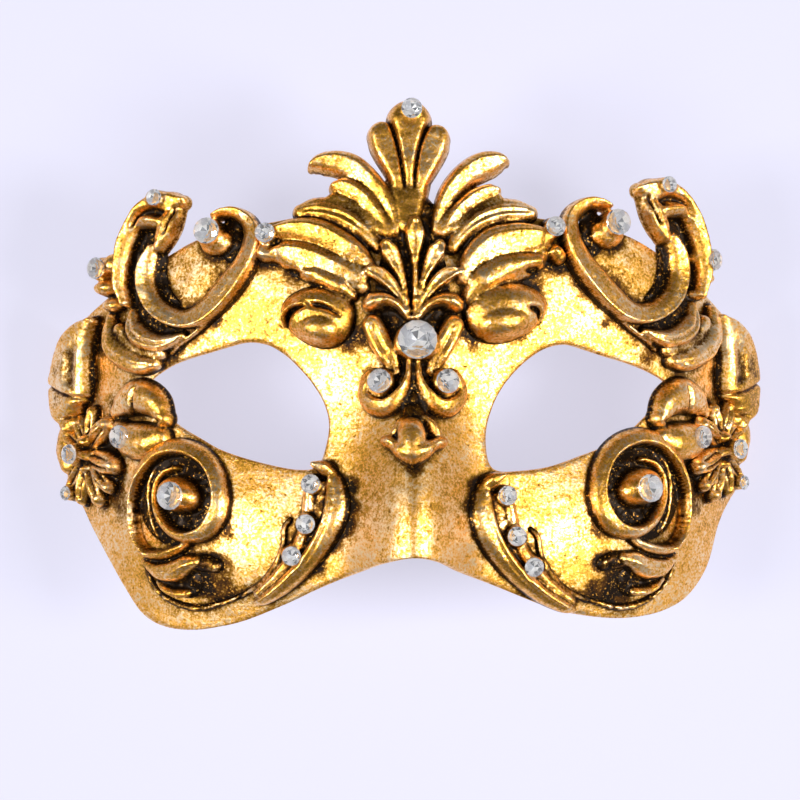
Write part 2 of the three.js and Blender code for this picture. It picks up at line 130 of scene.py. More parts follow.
RIGHT_EYE = [
    (18.9, -15), (21.5, -17.4), (27, -17.4), (33.8, -16.6), (39, -15.2), (43.3, -13.8),
    (47.7, -12.4), (52.8, -10.6), (58.7, -7.3), (65.5, -2), (69, 1.5), (70, 4.4), (64, 7.3),
    (56.7, 9.5), (49.7, 11.2), (44.2, 12.7), (39, 13.9), (33.8, 12.9), (29.5, 10.4),
    (25.8, 7.1), (22.5, 3.1), (19.9, -1.9), (18.3, -8.2),
]

# How each right-hand casting sits against the mirror image of its left-hand twin:
# pivot, turn in degrees, scale and shift.
RIGHT_HAND = {
    "crest": ((8, 38), 3, 0.97, (0, 0.6)),
    "upper_scroll": ((42, 34), 2.5, 1.07, (0.2, 1.9)),
    "outer_knobs": ((84, 30), 0, 0.94, (-2.6, 3)),
    "temple_leaf": ((96, 8), 0, 1, (-1, 1.5)),
    "flower": ((93, -14), 8, 0.98, (-2, 1.8)),
    "eye_leaf": ((75, -4), 0, 1.04, (2, 0.6)),
    "cheek_volute": ((60, -26), 2, 1.06, (0, 2)),
    "nose_band": ((24.3, -21), 7, 1.04, (-1.8, -2.6)),
}


def unit(t):
    return np.clip(t, 0, 1)


def ease(t):
    c = unit(t)
    return c * c * (3 - 2 * c)


def wrap_angle(u):
    t = u / WRAP_WIDTH
    return t + WRAP_EASE * t**3


def lean(y):
    """How far the forehead and the chin lean back at a height."""
    up = np.maximum(0, y - FOREHEAD_START)
    bow = np.minimum(up, FOREHEAD_BOW)
    straight = np.maximum(0, up - FOREHEAD_BOW)
    down = np.maximum(0, -y - CHIN_START)
    return -FOREHEAD_LEAN * bow * (bow + 2 * straight) - CHIN_LEAN * down * down


def mound(side, y, out, up, wide, tall):
    return np.exp(-(((side - out) / wide) ** 2) - ((y - up) / tall) ** 2)


def face_point(u, y):
    u = np.asarray(u, float)
    y = np.asarray(y, float)
    angle = wrap_angle(u)
    x = WRAP_WIDTH * np.sin(angle)
    side = np.abs(x)
    z = WRAP_DEPTH * (np.cos(angle) - math.cos(wrap_angle(WRAP_END)))
    z = z + lean(y) * np.maximum(0, 1 - (u / WRAP_END) ** 2)
    nose_width = NOSE_WIDTH + NOSE_FLARE * ease((NOSE_FLARE_TOP - y) / NOSE_FLARE_RUN)
    z = z + NOSE_HEIGHT * ease((NOSE_TOP - y) / NOSE_RUN) * np.exp(-((x / nose_width) ** 2))
    z = z - SOCKET_DEPTH * mound(side, y, *SOCKET)
    z = z + CHEEK_FULLNESS * mound(side, y, *CHEEK)
    return np.stack([x, y + 0 * u, z], -1)


def face_normal(u, y):
    step = 0.1
    across = face_point(u + step, y) - face_point(u - step, y)
    upward = face_point(u, y + step) - face_point(u, y - step)
    normal = np.cross(across, upward)
    return normal / np.linalg.norm(normal, axis=-1, keepdims=True)


def over(u, y, off):
    return face_point(u, y) + face_normal(u, y) * np.asarray(off)[..., None]


# The drawing's origin in the frame: the shell is even left to right, and its brow is highest.
shell_low, shell_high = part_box("shell")
ORIGIN = np.array([(shell_low.x + shell_high.x) / 2, shell_high.y - BROW_TOP * MM, 0])


def to_frame(points):
    return np.asarray(points) * MM + ORIGIN


def spline(points, count, closed=False):
    """Points evenly spaced in parameter along a smooth curve through the given ones."""
    p = np.array(points, float)
    if closed:
        p = np.vstack([p[-1], p, p[0], p[1]])
    else:
        p = np.vstack([2 * p[0] - p[1], p, 2 * p[-1] - p[-2]])
    spans = len(p) - 3
    at = np.linspace(0, spans, count, endpoint=not closed)
    k = np.minimum(at.astype(int), spans - 1)
    t = (at - k)[:, None]
    a, b, c, d = p[k], p[k + 1], p[k + 2], p[k + 3]
    square = 2 * a - 5 * b + 4 * c - d
    cube = 3 * b - a - 3 * c + d
    return 0.5 * (2 * b + (c - a) * t + square * t**2 + cube * t**3)


def blended(grid, i, j, s, t):
    """Values between four neighbours of a grid that repeats, at column i + s and row j + t."""
    rows, columns = grid.shape

    def row(j):
        return grid[j % rows, i % columns] * (1 - s) + grid[j % rows, (i + 1) % columns] * s

    return row(j) * (1 - t) + row(j + 1) * t


def noise(u, y, scale, seed):
    """Smooth random values from -1 to 1 that change over about one scale."""
    size, shift = 64, 400
    lattice = np.random.default_rng(seed).uniform(-1, 1, (size, size))
    a = np.asarray(u) / scale + shift
    b = np.asarray(y) / scale + shift
    i = np.floor(a).astype(int)
    j = np.floor(b).astype(int)
    return blended(lattice, i, j, ease(a - i), ease(b - j))


def blurred(values, radius):
    """A soft average over a radius given in cells."""
    reach = max(1, int(math.ceil(radius * 2.5)))
    weights = np.exp(-0.5 * (np.arange(-reach, reach + 1) / radius) ** 2)
    weights /= weights.sum()
    out = values
    for axis in (0, 1):
        margins = [(reach, reach) if a == axis else (0, 0) for a in (0, 1)]
        padded = np.pad(out, margins, mode="edge")
        cells = np.arange(values.shape[axis])
        out = sum(w * np.take(padded, cells + k, axis) for k, w in enumerate(weights))
    return out


# Profiles across a stroke: shares of its height at places from -1 to 1, with 1 on the upper or
# inner side. The higher the power, the flatter the top.
def rounded(q, power, edge=0.6):
    return (1 - np.abs(q) ** power) ** edge


def across_round(q):
    return rounded(q, 2.4)


def across_flat(q):
    return rounded(q, 5)


def across_ridged(q):
    ridge = 0.45
    above = rounded(unit((q - ridge) / (1 - ridge)), 2.2)
    below = unit((ridge - q) / (1 + ridge))
    return above * (1 - 0.34 * below) * rounded(below, 6)


def across_rimmed(q):
    above = rounded(unit((q - 0.5) / 0.5), 3)
    below = unit((0.5 - q) / 1.5)
    bead = 0.16 * np.exp(-(((q - 0.76) / 0.16) ** 2))
    return (above * (0.86 - 0.26 * below**1.2) + bead) * rounded(below, 5)


def across_cupped(q):
    return (0.7 + 0.3 * np.abs(q) ** 2) * rounded(q, 9, 0.5)


# A form gives its profile, and shares of its height along the path.
FORMS = {
    "leaf": (across_ridged, [(0, 0.6), (0.3, 0.9), (0.6, 1), (0.85, 0.96), (1, 0.8)]),
    "lobe": (across_round, [(0, 0.6), (0.28, 1), (0.74, 1), (1, 0.85)]),
    "cup": (across_cupped, [(0, 0.76), (0.5, 0.8), (0.8, 1), (1, 0.96)]),
    "petal": (across_round, [(0, 0.8), (0.6, 1), (1, 0.86)]),
    "slab": (across_flat, [(0, 0.45), (0.35, 0.84), (1, 1)]),
    "dome": (across_round, [(0, 0.5), (0.3, 0.85), (0.7, 1), (1, 0.94)]),
    "ground": (across_flat, [(0, 1), (1, 1)]),
    "scroll": (across_rimmed, [(0, 1), (1, 1)]),
    "cord": (across_round, [(0, 0.6), (0.15, 1), (0.85, 1), (1, 0.6)]),
    "cut": (across_round, [(0, 0.4), (0.2, 1), (0.8, 1), (1, 0.4)]),
}


def placed(point, side, casting):
    """Moves a left-hand drawing point, given outward from the middle, to its side of the face."""
    s, y = point[:2]
    if side < 0:
        return (-s, y)
    if casting not in RIGHT_HAND:
        return (s, y)
    pivot, turn, scale, shift = RIGHT_HAND[casting]
    turn = math.radians(turn)
    ds = (s - pivot[0]) * scale
    dy = (y - pivot[1]) * scale
    return (
        pivot[0] + shift[0] + ds * math.cos(turn) - dy * math.sin(turn),
        pivot[1] + shift[1] + ds * math.sin(turn) + dy * math.cos(turn),
    )


def size_of(casting, side):
    return RIGHT_HAND[casting][2] if side > 0 and casting in RIGHT_HAND else 1


class Relief:
    """A height map over part of the face, with the distance inside its outline."""

    def __init__(self, strokes, knobs):
        reach = [(*placed(p, side, casting), p[2]) for s, side, casting in strokes for p in s[1]]
        reach += [(*spot, radius) for spot, radius, _ in knobs]
        u, y, wide = np.array(reach).T
        self.u, self.y = np.meshgrid(*[
            np.arange((at - wide).min() - RELIEF_MARGIN, (at + wide).max() + RELIEF_MARGIN,
                      RELIEF_PITCH) for at in (u, y)
        ])
        self.height = np.zeros(self.u.shape)
        self.inside = np.full(self.u.shape, OUTSIDE)
        for spec, side, casting in strokes:
            self.carve(spec, side, casting)
        for knob in knobs:
            self.raise_knob(*knob)
        self.finish()

    def window(self, points, reach):
        low = np.min(points, axis=0) - reach
        high = np.max(points, axis=0) + reach
        columns = (self.u[0] >= low[0]) & (self.u[0] <= high[0])
        rows = (self.y[:, 0] >= low[1]) & (self.y[:, 0] <= high[1])
        return np.ix_(rows, columns)

    def add(self, area, height, inside):
        self.height[area] = np.maximum(self.height[area], height)
        self.inside[area] = np.maximum(self.inside[area], inside)

    def swell(self, spec, side, casting):
        """An egg-shaped dome, given by the ends of its long axis and the half width at each.

        It is drawn with the mean of the two, and narrows towards the second end if that is the
        larger one."""
        (first, second), height = spec[1:3]
        ends = np.array([placed(p, side, casting) for p in (first, second)])
        middle = ends.mean(axis=0)
        axis = ends[1] - ends[0]
        long = np.linalg.norm(axis) / 2
        axis = axis / (2 * long)
        wide = (first[2] + second[2]) / 2 * size_of(casting, side)
        taper = EGG_TAPER if first[2] < second[2] else 0
        area = self.window(ends, wide + 2)
        u, y = self.u[area] - middle[0], self.y[area] - middle[1]
        along = (u * axis[0] + y * axis[1]) / long
        across = (u * axis[1] - y * axis[0]) / (wide * (1 - taper * along))
        q = np.hypot(along, across)
        self.add(area, height * rounded(unit(q), 2.2, 0.55), (1 - q) * wide)

    def carve(self, spec, side, casting):
        form, path, height = spec[:3]
        if form == "egg":
            self.swell(spec, side, casting)
            return
        flutes = spec[3] if len(spec) > 3 else ()
        profile, shares = FORMS[form]
        scale = size_of(casting, side)
        line = spline([(*placed(p, side, casting), p[2] * scale) for p in path], STROKE_STEPS)
        area = self.window(line[:, :2], line[:, 2].max() + 2.5)
        u, y = self.u[area], self.y[area]
        step = np.gradient(line[:, :2], axis=0)
        pace = np.linalg.norm(step, axis=1)
        ahead = step / pace[:, None]
        gap_u, gap_y = u[..., None] - line[:, 0], y[..., None] - line[:, 1]
        near = np.argmin(gap_u**2 + gap_y**2, axis=-1)
        off_u = u - line[near, 0]
        off_y = y - line[near, 1]
        along = off_u * ahead[near, 0] + off_y * ahead[near, 1]
        across = ahead[near, 0] * off_y - ahead[near, 1] * off_u
        last = len(line) - 1
        before = np.where(near == 0, np.maximum(0, -along), 0)
        after = np.where(near == last, np.maximum(0, along), 0)
        t = unit((near + along / pace[near]) / last)
        half = np.interp(t, np.linspace(0, 1, len(line)), line[:, 2])
        tall = height * np.interp(t, *np.array(shares).T)
        reach = np.hypot(across, before + after)
        q = unit(reach / half) * np.sign(across) * side
        if form == "cut":
            self.height[area] -= tall * (1 - np.abs(q) ** 1.6)
            return
        share = profile(q)
        for place, flute_width, depth in flutes:
            fade = ease(t / FLUTE_FADE) * ease((1 - t) / FLUTE_FADE)
            share = share - depth * fade * np.exp(-(((q - place) / flute_width) ** 2))
        self.add(area, tall * np.clip(share, 0, None), half - reach)

    def raise_knob(self, spot, radius, seat):
        """A knob that a stone stands on; the stone reaches out over it."""
        area = self.window(np.array([spot]), radius + 4)
        away = np.hypot(self.u[area] - spot[0], self.y[area] - spot[1])
        foot = radius + KNOB_RIM
        knob = (seat - KNOB_GAP) * rounded(unit(away / foot), 7, 0.5)
        dip = seat - 0.4 - 0.7 * np.maximum(0, radius - away)
        ceiling = np.where(away < radius + 0.4, dip, np.inf)
        self.height[area] = np.minimum(np.maximum(self.height[area], knob), ceiling)
        self.inside[area] = np.maximum(self.inside[area], foot - away)

    def finish(self):
        """Adds the hand-made unevenness, and works out the dark tone: wax that stays in the
        hollows, and painted shade in the crevices and on the low parts near the foot.
        """
        u, y, height = self.u, self.y, self.height
        rough = GROUND_ROUGHNESS * noise(u, y, 1.1, 8) * (1 - ease((height - 1.5) / 2))
        pits = PIT_DEPTH * unit(noise(u, y, 1.2, 7) - 0.66) / 0.34
        uneven = HAND_WOBBLE * noise(u, y, 4, 5) + GRAIN * noise(u, y, 0.9, 6) + rough - pits
        raw = np.maximum(0, height) + np.where(height > 0.5, uneven, 0)
        height = np.maximum(THIN_EDGE, blurred(raw, SMOOTHING / RELIEF_PITCH))
        # Crevices, hollows and the low parts near the foot are darkened: partly wax left there,
        # partly painted shade.
        soft = blurred(height, SOFT_HOLLOW / RELIEF_PITCH) - height
        fine = blurred(height, FINE_HOLLOW / RELIEF_PITCH) - height
        deep = 1 - ease((height - 0.4) / 1.5)
        dull = 1 - ease((height - 1.8) / 2.6)
        self.height = height
        self.wax_and_shade = 0.36 * soft + 0.9 * fine + 0.55 * deep + 0.3 * dull

    def value(self, grid, u, y):
        """Reads a grid of this relief at places on the face."""
        a = (np.asarray(u) - self.u[0, 0]) / RELIEF_PITCH
        b = (np.asarray(y) - self.y[0, 0]) / RELIEF_PITCH
        rows, columns = self.u.shape
        known = (a >= 0) & (a < columns - 1) & (b >= 0) & (b < rows - 1)
        i = np.clip(a, 0, columns - 2).astype(int)
        j = np.clip(b, 0, rows - 2).astype(int)
        return np.where(known, blended(grid, i, j, unit(a - i), unit(b - j)), OUTSIDE)


def cells_inside(inside):
    """Cells of a grid whose middle is inside, with no two touching by a corner alone."""
    middle = (inside[:-1, :-1] + inside[1:, :-1] + inside[:-1, 1:] + inside[1:, 1:]) / 4
    keep = middle > 0
    for _ in range(4):
        a, b, c, d = keep[:-1, :-1], keep[:-1, 1:], keep[1:, 1:], keep[1:, :-1]
        one = a & c & ~b & ~d
        two = b & d & ~a & ~c
        b |= one
        a |= two
    return keep


def closed_sheet(u, y, inside, front_at, back_at, ring_at):
    """A closed body over the cells inside an outline: a front, a back and rings round its edge.

    front_at and back_at give points for places on the face, and ring_at gives the points of each
    ring between them for places on the outline and the outward direction there. Points near the
    outline are moved onto it."""
    keep = cells_inside(inside)
    rows, columns = u.shape
    touching = np.zeros((rows, columns), int)
    for dj, di in ((0, 0), (0, 1), (1, 1), (1, 0)):
        touching[dj:rows - 1 + dj, di:columns - 1 + di] += keep
    used = touching > 0
    edge = used & (touching < 4)
    pitch = u[0, 1] - u[0, 0]
    slope_y, slope_u = np.gradient(inside, y[1, 0] - y[0, 0], pitch)
    steep = np.maximum(slope_u**2 + slope_y**2, 0.2)
    farthest = 1.2 * pitch
    move = np.clip(inside, -farthest, farthest) / steep
    at_u = np.where(edge, u - move * slope_u, u)
    at_y = np.where(edge, y - move * slope_y, y)
    number = np.full(u.shape, -1)
    number[used] = np.arange(used.sum())
    spots_u, spots_y = at_u[used], at_y[used]
    count = len(spots_u)
    j, i = np.nonzero(keep)
    corners = np.stack([number[j, i], number[j, i + 1], number[j + 1, i + 1], number[j + 1, i]], -1)
    padded = np.pad(keep, 1)
    outside = [~padded[j, i + 1], ~padded[j + 1, i + 2], ~padded[j + 2, i + 1], ~padded[j + 1, i]]
    border = np.vstack([corners[out][:, [k, (k + 1) % 4]] for k, out in enumerate(outside)])
    rim = np.unique(border)
    place = np.full(count, -1)
    place[rim] = np.arange(len(rim))
    size = np.sqrt(steep[used][rim])[:, None]
    outward = -np.stack([slope_u[used][rim], slope_y[used][rim]], -1) / size
    rings = ring_at(spots_u[rim], spots_y[rim], outward)
    points = [front_at(spots_u, spots_y), back_at(spots_u, spots_y)] + rings
    chain = [2 * count + k * len(rim) + place for k in range(len(rings))]
    chain = [np.arange(count), *chain, count + np.arange(count)]
    faces = [corners, corners[:, ::-1] + count]
    p, q = border.T
    for upper, lower in zip(chain[:-1], chain[1:]):
        faces.append(np.stack([lower[p], lower[q], upper[q], upper[p]], -1))
    sizes = [len(corners), len(corners), len(border) * (len(rings) + 1)]
    return np.vstack(points), np.vstack(faces).tolist(), sizes, (spots_u, spots_y, rim)


def add_object(name, data):
    made = bpy.data.objects.new(name, data)
    bpy.context.scene.collection.objects.link(made)
    return made


def add_mesh(name, points, faces, materials, slots=None, smooth=True):
    mesh = bpy.data.meshes.new(name)
    mesh.from_pydata(to_frame(points).tolist(), [], faces)
    for material in materials:
        mesh.materials.append(material)
    if slots is not None:
        mesh.polygons.foreach_set("material_index", np.asarray(slots, np.int32))
    mesh.polygons.foreach_set("use_smooth", np.full(len(mesh.polygons), smooth))
    mesh.update()
    return add_object(name, mesh)


def paint(piece, name, values):
    attribute = piece.data.attributes.new(name, "FLOAT", "POINT")
    attribute.data.foreach_set("value", np.asarray(values, np.float32))


# Flutes: (place across, width, depth), as shares of a stroke's half width and height.
TWO_FLUTES = ((-0.3, 0.12, 0.14), (0.25, 0.12, 0.12))
THREE_FLUTES = ((-0.5, 0.1, 0.12), (-0.05, 0.1, 0.14), (0.45, 0.1, 0.12))
CREASE = ((0.1, 0.08, 0.1),)
VEIN = ((0.0, 0.12, 0.2),)
BEAD = ((0.6, 0.08, 0.12),)
PETAL_FLUTES = ((0.34, 0.13, 0.4), (-0.34, 0.13, 0.4))

# Strokes are (form, [(outward, up, half width)], height, flutes).
CREST_MIDDLE = [
    ("ground", [(0, 14, 5), (0, 26, 9), (0, 38, 7)], 1.1),
    ("ground", [(0, 40, 6), (0, 45, 6)], 1.8),
    ("ground", [(-1.2, 43, 3.2), (-1.2, 50, 5), (-0.8, 57, 6)], 3.6),
    ("slab", [(-1.6, 47, 0.9), (-2.8, 52.4, 2.4), (-4.4, 57.6, 3.5), (-6.4, 62, 4),
     (-7.4, 64.8, 3.8)], 5.4),
    ("slab", [(0.6, 47, 0.9), (1.4, 52.4, 2.4), (3.1, 57.6, 3.6), (5, 62, 4), (5.7, 64.2, 3.7)],
     5.4),
    ("slab", [(-1, 49, 0.8), (-0.9, 55, 2.4), (-0.8, 60, 3.3), (-0.8, 65, 4.7), (-0.8, 68.4, 5.7)],
     6),
    ("cut", [(-6.2, 69, 0.7), (-4.6, 65, 0.5), (-3.3, 60, 0.4), (-2.4, 55, 0.4), (-1.9, 51.5, 0.3)],
     2.6),
    ("cut", [(5, 69, 0.7), (3, 65.4, 0.5), (1.5, 61, 0.4), (0.7, 56, 0.4), (0.4, 51.5, 0.3)], 2.6),
    ("cup", [(0.4, 19.4, 0.5), (0.5, 30, 0.7), (0.5, 35, 1.1), (0.5, 38.2, 2.1), (0.5, 40.6, 2.4),
     (0.6, 42.6, 1.6)], 6.3),
    ("ground", [(0.2, 9, 3), (0.2, 0, 2.6), (0, -8, 3.4)], 1.1),
    ("lobe", [(-4.4, -10.8, 1.6), (-3.3, -11.8, 1.9), (-1.9, -12.9, 2.3), (-0.3, -13.4, 2.6),
     (1.4, -12.9, 2.3), (2.9, -11.9, 1.9), (4, -11, 1.6)], 4.6),
    ("lobe", [(-3, -11.4, 1.2), (-4.4, -10.9, 1.6), (-5.4, -10.5, 1.7)], 4.4),
    ("lobe", [(3, -11.5, 1.2), (4.5, -11.1, 1.6), (5.6, -10.8, 1.7)], 4.4),
    ("lobe", [(-1.8, -4.8, 1.1), (-3, -7, 1.1), (-4.2, -9, 1)], 3),
    ("lobe", [(2.4, -4.8, 1.1), (3.7, -7.2, 1.2), (4.8, -9.2, 1.1)], 3.6),
    ("egg", [(-0.5, -4.4, 2.2), (-0.3, -16.4, 3.5)], 5.4),
    ("cut", [(1.8, -5.2, 0.5), (2.7, -7.8, 0.7), (3.2, -9.8, 0.5)], 2.2),
]
CREST_LEFT = [
    ("ground", [(6, 42, 3), (12, 45, 4.6), (19, 48, 3)], 3.2),
    ("leaf", [(4.3, 41, 1.4), (5.6, 45.6, 2.1), (7.8, 50, 2.8), (11.2, 54, 3.3), (15, 57, 3.6),
     (19, 58.1, 3.2), (22.6, 57.9, 2.5), (24.6, 57, 1.3), (25.2, 56.6, 0.7)], 5.3, BEAD),
    ("leaf", [(6.2, 40.2, 1.4), (8, 43.6, 2.1), (10.4, 47.2, 2.6), (13.4, 50.2, 2.7),
     (16.6, 51.8, 2.6), (18.6, 51.8, 2)], 4.8, BEAD),
    ("lobe", [(8.4, 37.6, 1.8), (11.4, 40.6, 2.9), (15, 43.6, 4), (19.4, 45.6, 4.1),
     (24, 46.2, 3.6), (27.4, 45.8, 2.4)], 4.1, THREE_FLUTES),
    ("leaf", [(10.2, 31.6, 2), (13.6, 34.8, 3.4), (18.4, 38, 3.9), (24, 40.4, 3.9), (29.4, 41, 3.1),
     (33.6, 40.6, 2.2)], 6, BEAD),
    ("leaf", [(12.2, 27.4, 2), (16, 30, 3.6), (21, 32.6, 4), (26, 34.5, 4), (30.6, 35.4, 3.4),
     (33.2, 35.4, 2.3)], 5.2, BEAD),
    ("lobe", [(14.6, 25.4, 1.5), (18, 27.8, 2.4), (23, 30.2, 2.5), (26.6, 31.2, 1.8)], 4.5),
    ("lobe", [(34.6, 38.4, 2.2), (36.8, 35.9, 2.2), (34.2, 35, 1.6)], 4.4),
    ("cut", [(27.4, 30.6, 0.7), (29, 31, 1.2), (31, 31.6, 0.8)], 2.4),
    ("egg", [(14, 19, 7.4), (32.6, 22.4, 7.9)], 5.6),
    ("cut", [(30.9, 17.6, 0.9), (30.6, 20.2, 1.2), (28.8, 22.2, 1), (25.4, 23.2, 0.6),
     (21, 22.6, 0.5), (17.4, 20.6, 0.4)], 3.4),
    ("cord", [(31.4, 18.4, 0.6), (31.1, 21.2, 0.7), (29, 23, 0.7), (26, 23.4, 0.6),
     (22.4, 22.4, 0.5)], 5.5),
    ("egg", [(16, 16.6, 4), (29, 19.2, 4.4)], 6.8),
]
CREST_RIGHT = [
    ("ground", [(7, 42, 2.6), (12, 45, 4.6), (20, 48.4, 3)], 3.2),
    ("leaf", [(5.6, 41.4, 1.3), (6.8, 46, 2), (9, 50.6, 2.8), (12.4, 54.6, 3.3), (16.4, 57.2, 3.7),
     (20, 58.3, 3.2), (22.2, 58.5, 2.1), (23.4, 58.4, 0.8)], 5.4, BEAD),
    ("leaf", [(7.8, 40.4, 1.4), (9.6, 44, 1.9), (12.2, 46.9, 2.3), (15.2, 49.4, 2.4),
     (18.4, 50.9, 2.2), (20.4, 51, 1.7)], 4.9, BEAD),
    ("lobe", [(9.6, 37.6, 2), (12.6, 41.2, 2.9), (16.6, 44.2, 4), (21, 45.8, 4), (25.6, 46.2, 3.5),
     (29.2, 46, 2.3)], 4.1, THREE_FLUTES),
    ("leaf", [(12.8, 29.4, 1.8), (14.6, 33.4, 3.6), (19, 37, 5.1), (24.6, 38.6, 5), (30, 39.2, 4),
     (32.4, 39, 2.8)], 6, BEAD),
    ("lobe", [(13.6, 25, 2.2), (16.4, 28.8, 3.8), (21, 31.8, 4), (26, 33.4, 3.4), (30.4, 34, 2.4)],
     5.4),
    ("lobe", [(34, 37.6, 2.1), (36.6, 35.4, 2.2)], 4.4),
    ("cut", [(27.4, 31.8, 0.6), (29.2, 31.8, 1), (31, 32.4, 0.6)], 2.2),
    ("egg", [(12.2, 20.4, 7.4), (33.8, 23.8, 8)], 5.8),
    ("egg", [(13.8, 18, 4.4), (30.4, 21.4, 4.9)], 6.8),
    ("cut", [(31, 20.2, 0.7), (30.2, 22.2, 0.9), (28, 22.9, 0.6)], 3),
]
CREST_SIDE = [
    ("cup", [(0.6, 19.4, 0.4), (2, 27, 0.7), (3.2, 31, 1.2), (4.8, 34.4, 2), (5.8, 36.2, 2.2),
     (6.4, 37.4, 1.5)], 6.2),
    ("cup", [(0.8, 19.4, 0.4), (2.6, 24, 0.8), (4.8, 27.6, 1.5), (7.4, 30, 1.9), (9.6, 31, 1.6),
     (10.8, 31.1, 0.9)], 6),
    ("dome", [(1.2, 19.2, 0.5), (3.4, 22.4, 1.2), (6.4, 24.1, 1.9), (9.2, 23.8, 2.6),
     (10.2, 23.2, 2.3)], 6.4),
    ("ground", [(7.2, 4.4, 3.2), (8, 1.8, 3.2)], 3),
    ("slab", [(4.2, 7, 1.8), (5.4, 10.2, 2.5), (7.6, 14.4, 2.9), (9.6, 18.2, 2.7)], 5.2, VEIN),
    ("scroll", [(0.7, 10, 0.7), (0.9, 5.4, 0.8), (2.2, 1.4, 1.2), (4.9, -1.9, 1.8),
     (8.3, -2.2, 2.3), (10.8, 0.3, 2), (11, 3.8, 1.6), (9.6, 6.6, 1.1)], 4.6),
    ("ground", [(13, 30.6, 3), (21, 32, 5), (29, 36, 5)], 3.6),
]
UPPER_SCROLL = [
    ("ground", [(64, 46, 4.4), (69.4, 42.6, 5.4), (73, 36, 6), (74, 28, 5), (72, 21, 4.4)], 1),
    ("ground", [(70, 21, 3.6), (66, 18.4, 3), (61, 17.4, 1.8)], 0.9),
    ("ground", [(45.6, 43.2, 2.4), (45.6, 37, 3.2)], 0.9),
    ("ground", [(65.8, 36, 0.9), (66, 31, 1.1), (64.6, 26.8, 1.1), (61.4, 23.6, 0.8)], 0.6),
    ("scroll", [(67.6, 37, 1.6), (69.6, 33, 2.4), (69.6, 28.4, 2.6), (67.2, 24, 2.6),
     (62.6, 21, 2.5), (57, 20.3, 2.6), (51.8, 22.7, 3.2), (46.8, 27.4, 3.5), (42, 33.4, 3.1),
     (39.9, 39, 2.7), (40.6, 43.2, 2.3), (44, 45.6, 1.8), (47.4, 45.8, 1.4), (50, 45, 0.9)], 5.3),
    ("cord", [(40.8, 30.4, 0.6), (45, 25.4, 0.7), (50, 20.9, 0.8), (55, 17.1, 0.8),
     (59.6, 14.1, 0.7), (63, 11.4, 0.6)], 2.5),
    ("leaf", [(59.4, 49.2, 1.8), (62, 49, 3), (66, 48.6, 3.2), (70.2, 46.6, 2.8), (73.4, 43, 2.4),
     (75.8, 38.4, 2.2), (77, 33.4, 2), (77.3, 28.6, 1.8), (76.2, 24.2, 1.3)], 6.8),
    ("lobe", [(61.4, 48, 2.6), (63, 43.8, 3), (64.6, 40.4, 2.6), (65.8, 38, 1.8)], 5, TWO_FLUTES),
    ("leaf", [(62, 42.4, 1.2), (65.6, 43.6, 1.8), (70.6, 43.8, 1.7), (74, 41.6, 1)], 5.8),
    ("cut", [(64.2, 46.2, 0.6), (67, 46.8, 0.9), (70.4, 45.8, 0.7), (73, 42.8, 0.4)], 2.2),
    ("cut", [(60.8, 47.4, 0.5), (62.4, 43.8, 0.6), (63.4, 41, 0.4)], 1.6),
    ("lobe", [(75.2, 21.4, 1.9), (74.4, 17.9, 3.1), (71, 15.3, 3.1), (66, 14.2, 2.5),
     (61.6, 15, 1.7), (58.8, 16.2, 0.9)], 4.8, VEIN),
    ("lobe", [(83.8, 20.2, 2), (83.2, 15.9, 3.4), (80.2, 12.1, 3.9), (75.6, 9.9, 3.5),
     (71.2, 8.9, 3), (67.4, 9, 2)], 5, ((0.1, 0.08, 0.12),)),
    ("egg", [(45, 39.4, 3.8), (54.4, 38.6, 3.6)], 4.6),
    ("ground", [(79.6, 17.6, 2), (76.6, 13.8, 2.4), (71.6, 12, 2.4), (65.6, 11.4, 1.6)], 3.3),
]
OUTER_KNOBS = [
    ("egg", [(79, 34.8, 3), (86, 33.2, 3.2)], 4.8),
    ("egg", [(81, 28.4, 2.2), (89.8, 28, 2.6)], 4.8),
    ("egg", [(79, 24, 1.9), (87, 23.6, 2)], 4.2),
]
TEMPLE_LEAF = [
    ("leaf", [(91, 19.8, 1.6), (95.4, 16.2, 4.6), (99.6, 10.6, 7.4), (101.6, 4, 8.8),
     (101.8, -2, 7.6), (100.4, -6, 3.6)], 7.8),
    ("cut", [(95.6, 13.4, 1.4), (97.4, 10, 2.2), (97.8, 5.6, 2.2), (96.6, 3, 1.2)], 1),
    ("cut", [(91, 0.2, 0.4), (96, 0.4, 0.5), (101, 1.4, 0.6), (106, 3, 0.8), (110, 4.6, 0.8)], 1.3),
    ("cut", [(94, -3.4, 0.5), (98, -4.6, 0.7), (102, -5.4, 0.5)], 1.2),
]
EYE_LEAF = [
    ("dome", [(82, -3.4, 2.6), (78, -0.6, 4.2), (72.6, 0.6, 4.8), (67.4, -1.2, 4.2),
     (64.6, -5, 2.8)], 4.8),
    ("cut", [(72.6, 3.4, 0.5), (73.4, 0.6, 0.9), (74, -3, 0.6)], 0.9),
    ("lobe", [(80.4, -8.4, 3.6), (76, -10.4, 4.9), (70.6, -10.6, 4.9), (66, -9.8, 3.6)], 5),
    ("cut", [(64.8, -5.8, 0.5), (70, -5.3, 0.8), (76, -5, 0.8), (82, -4.8, 0.5)], 2.6),
]
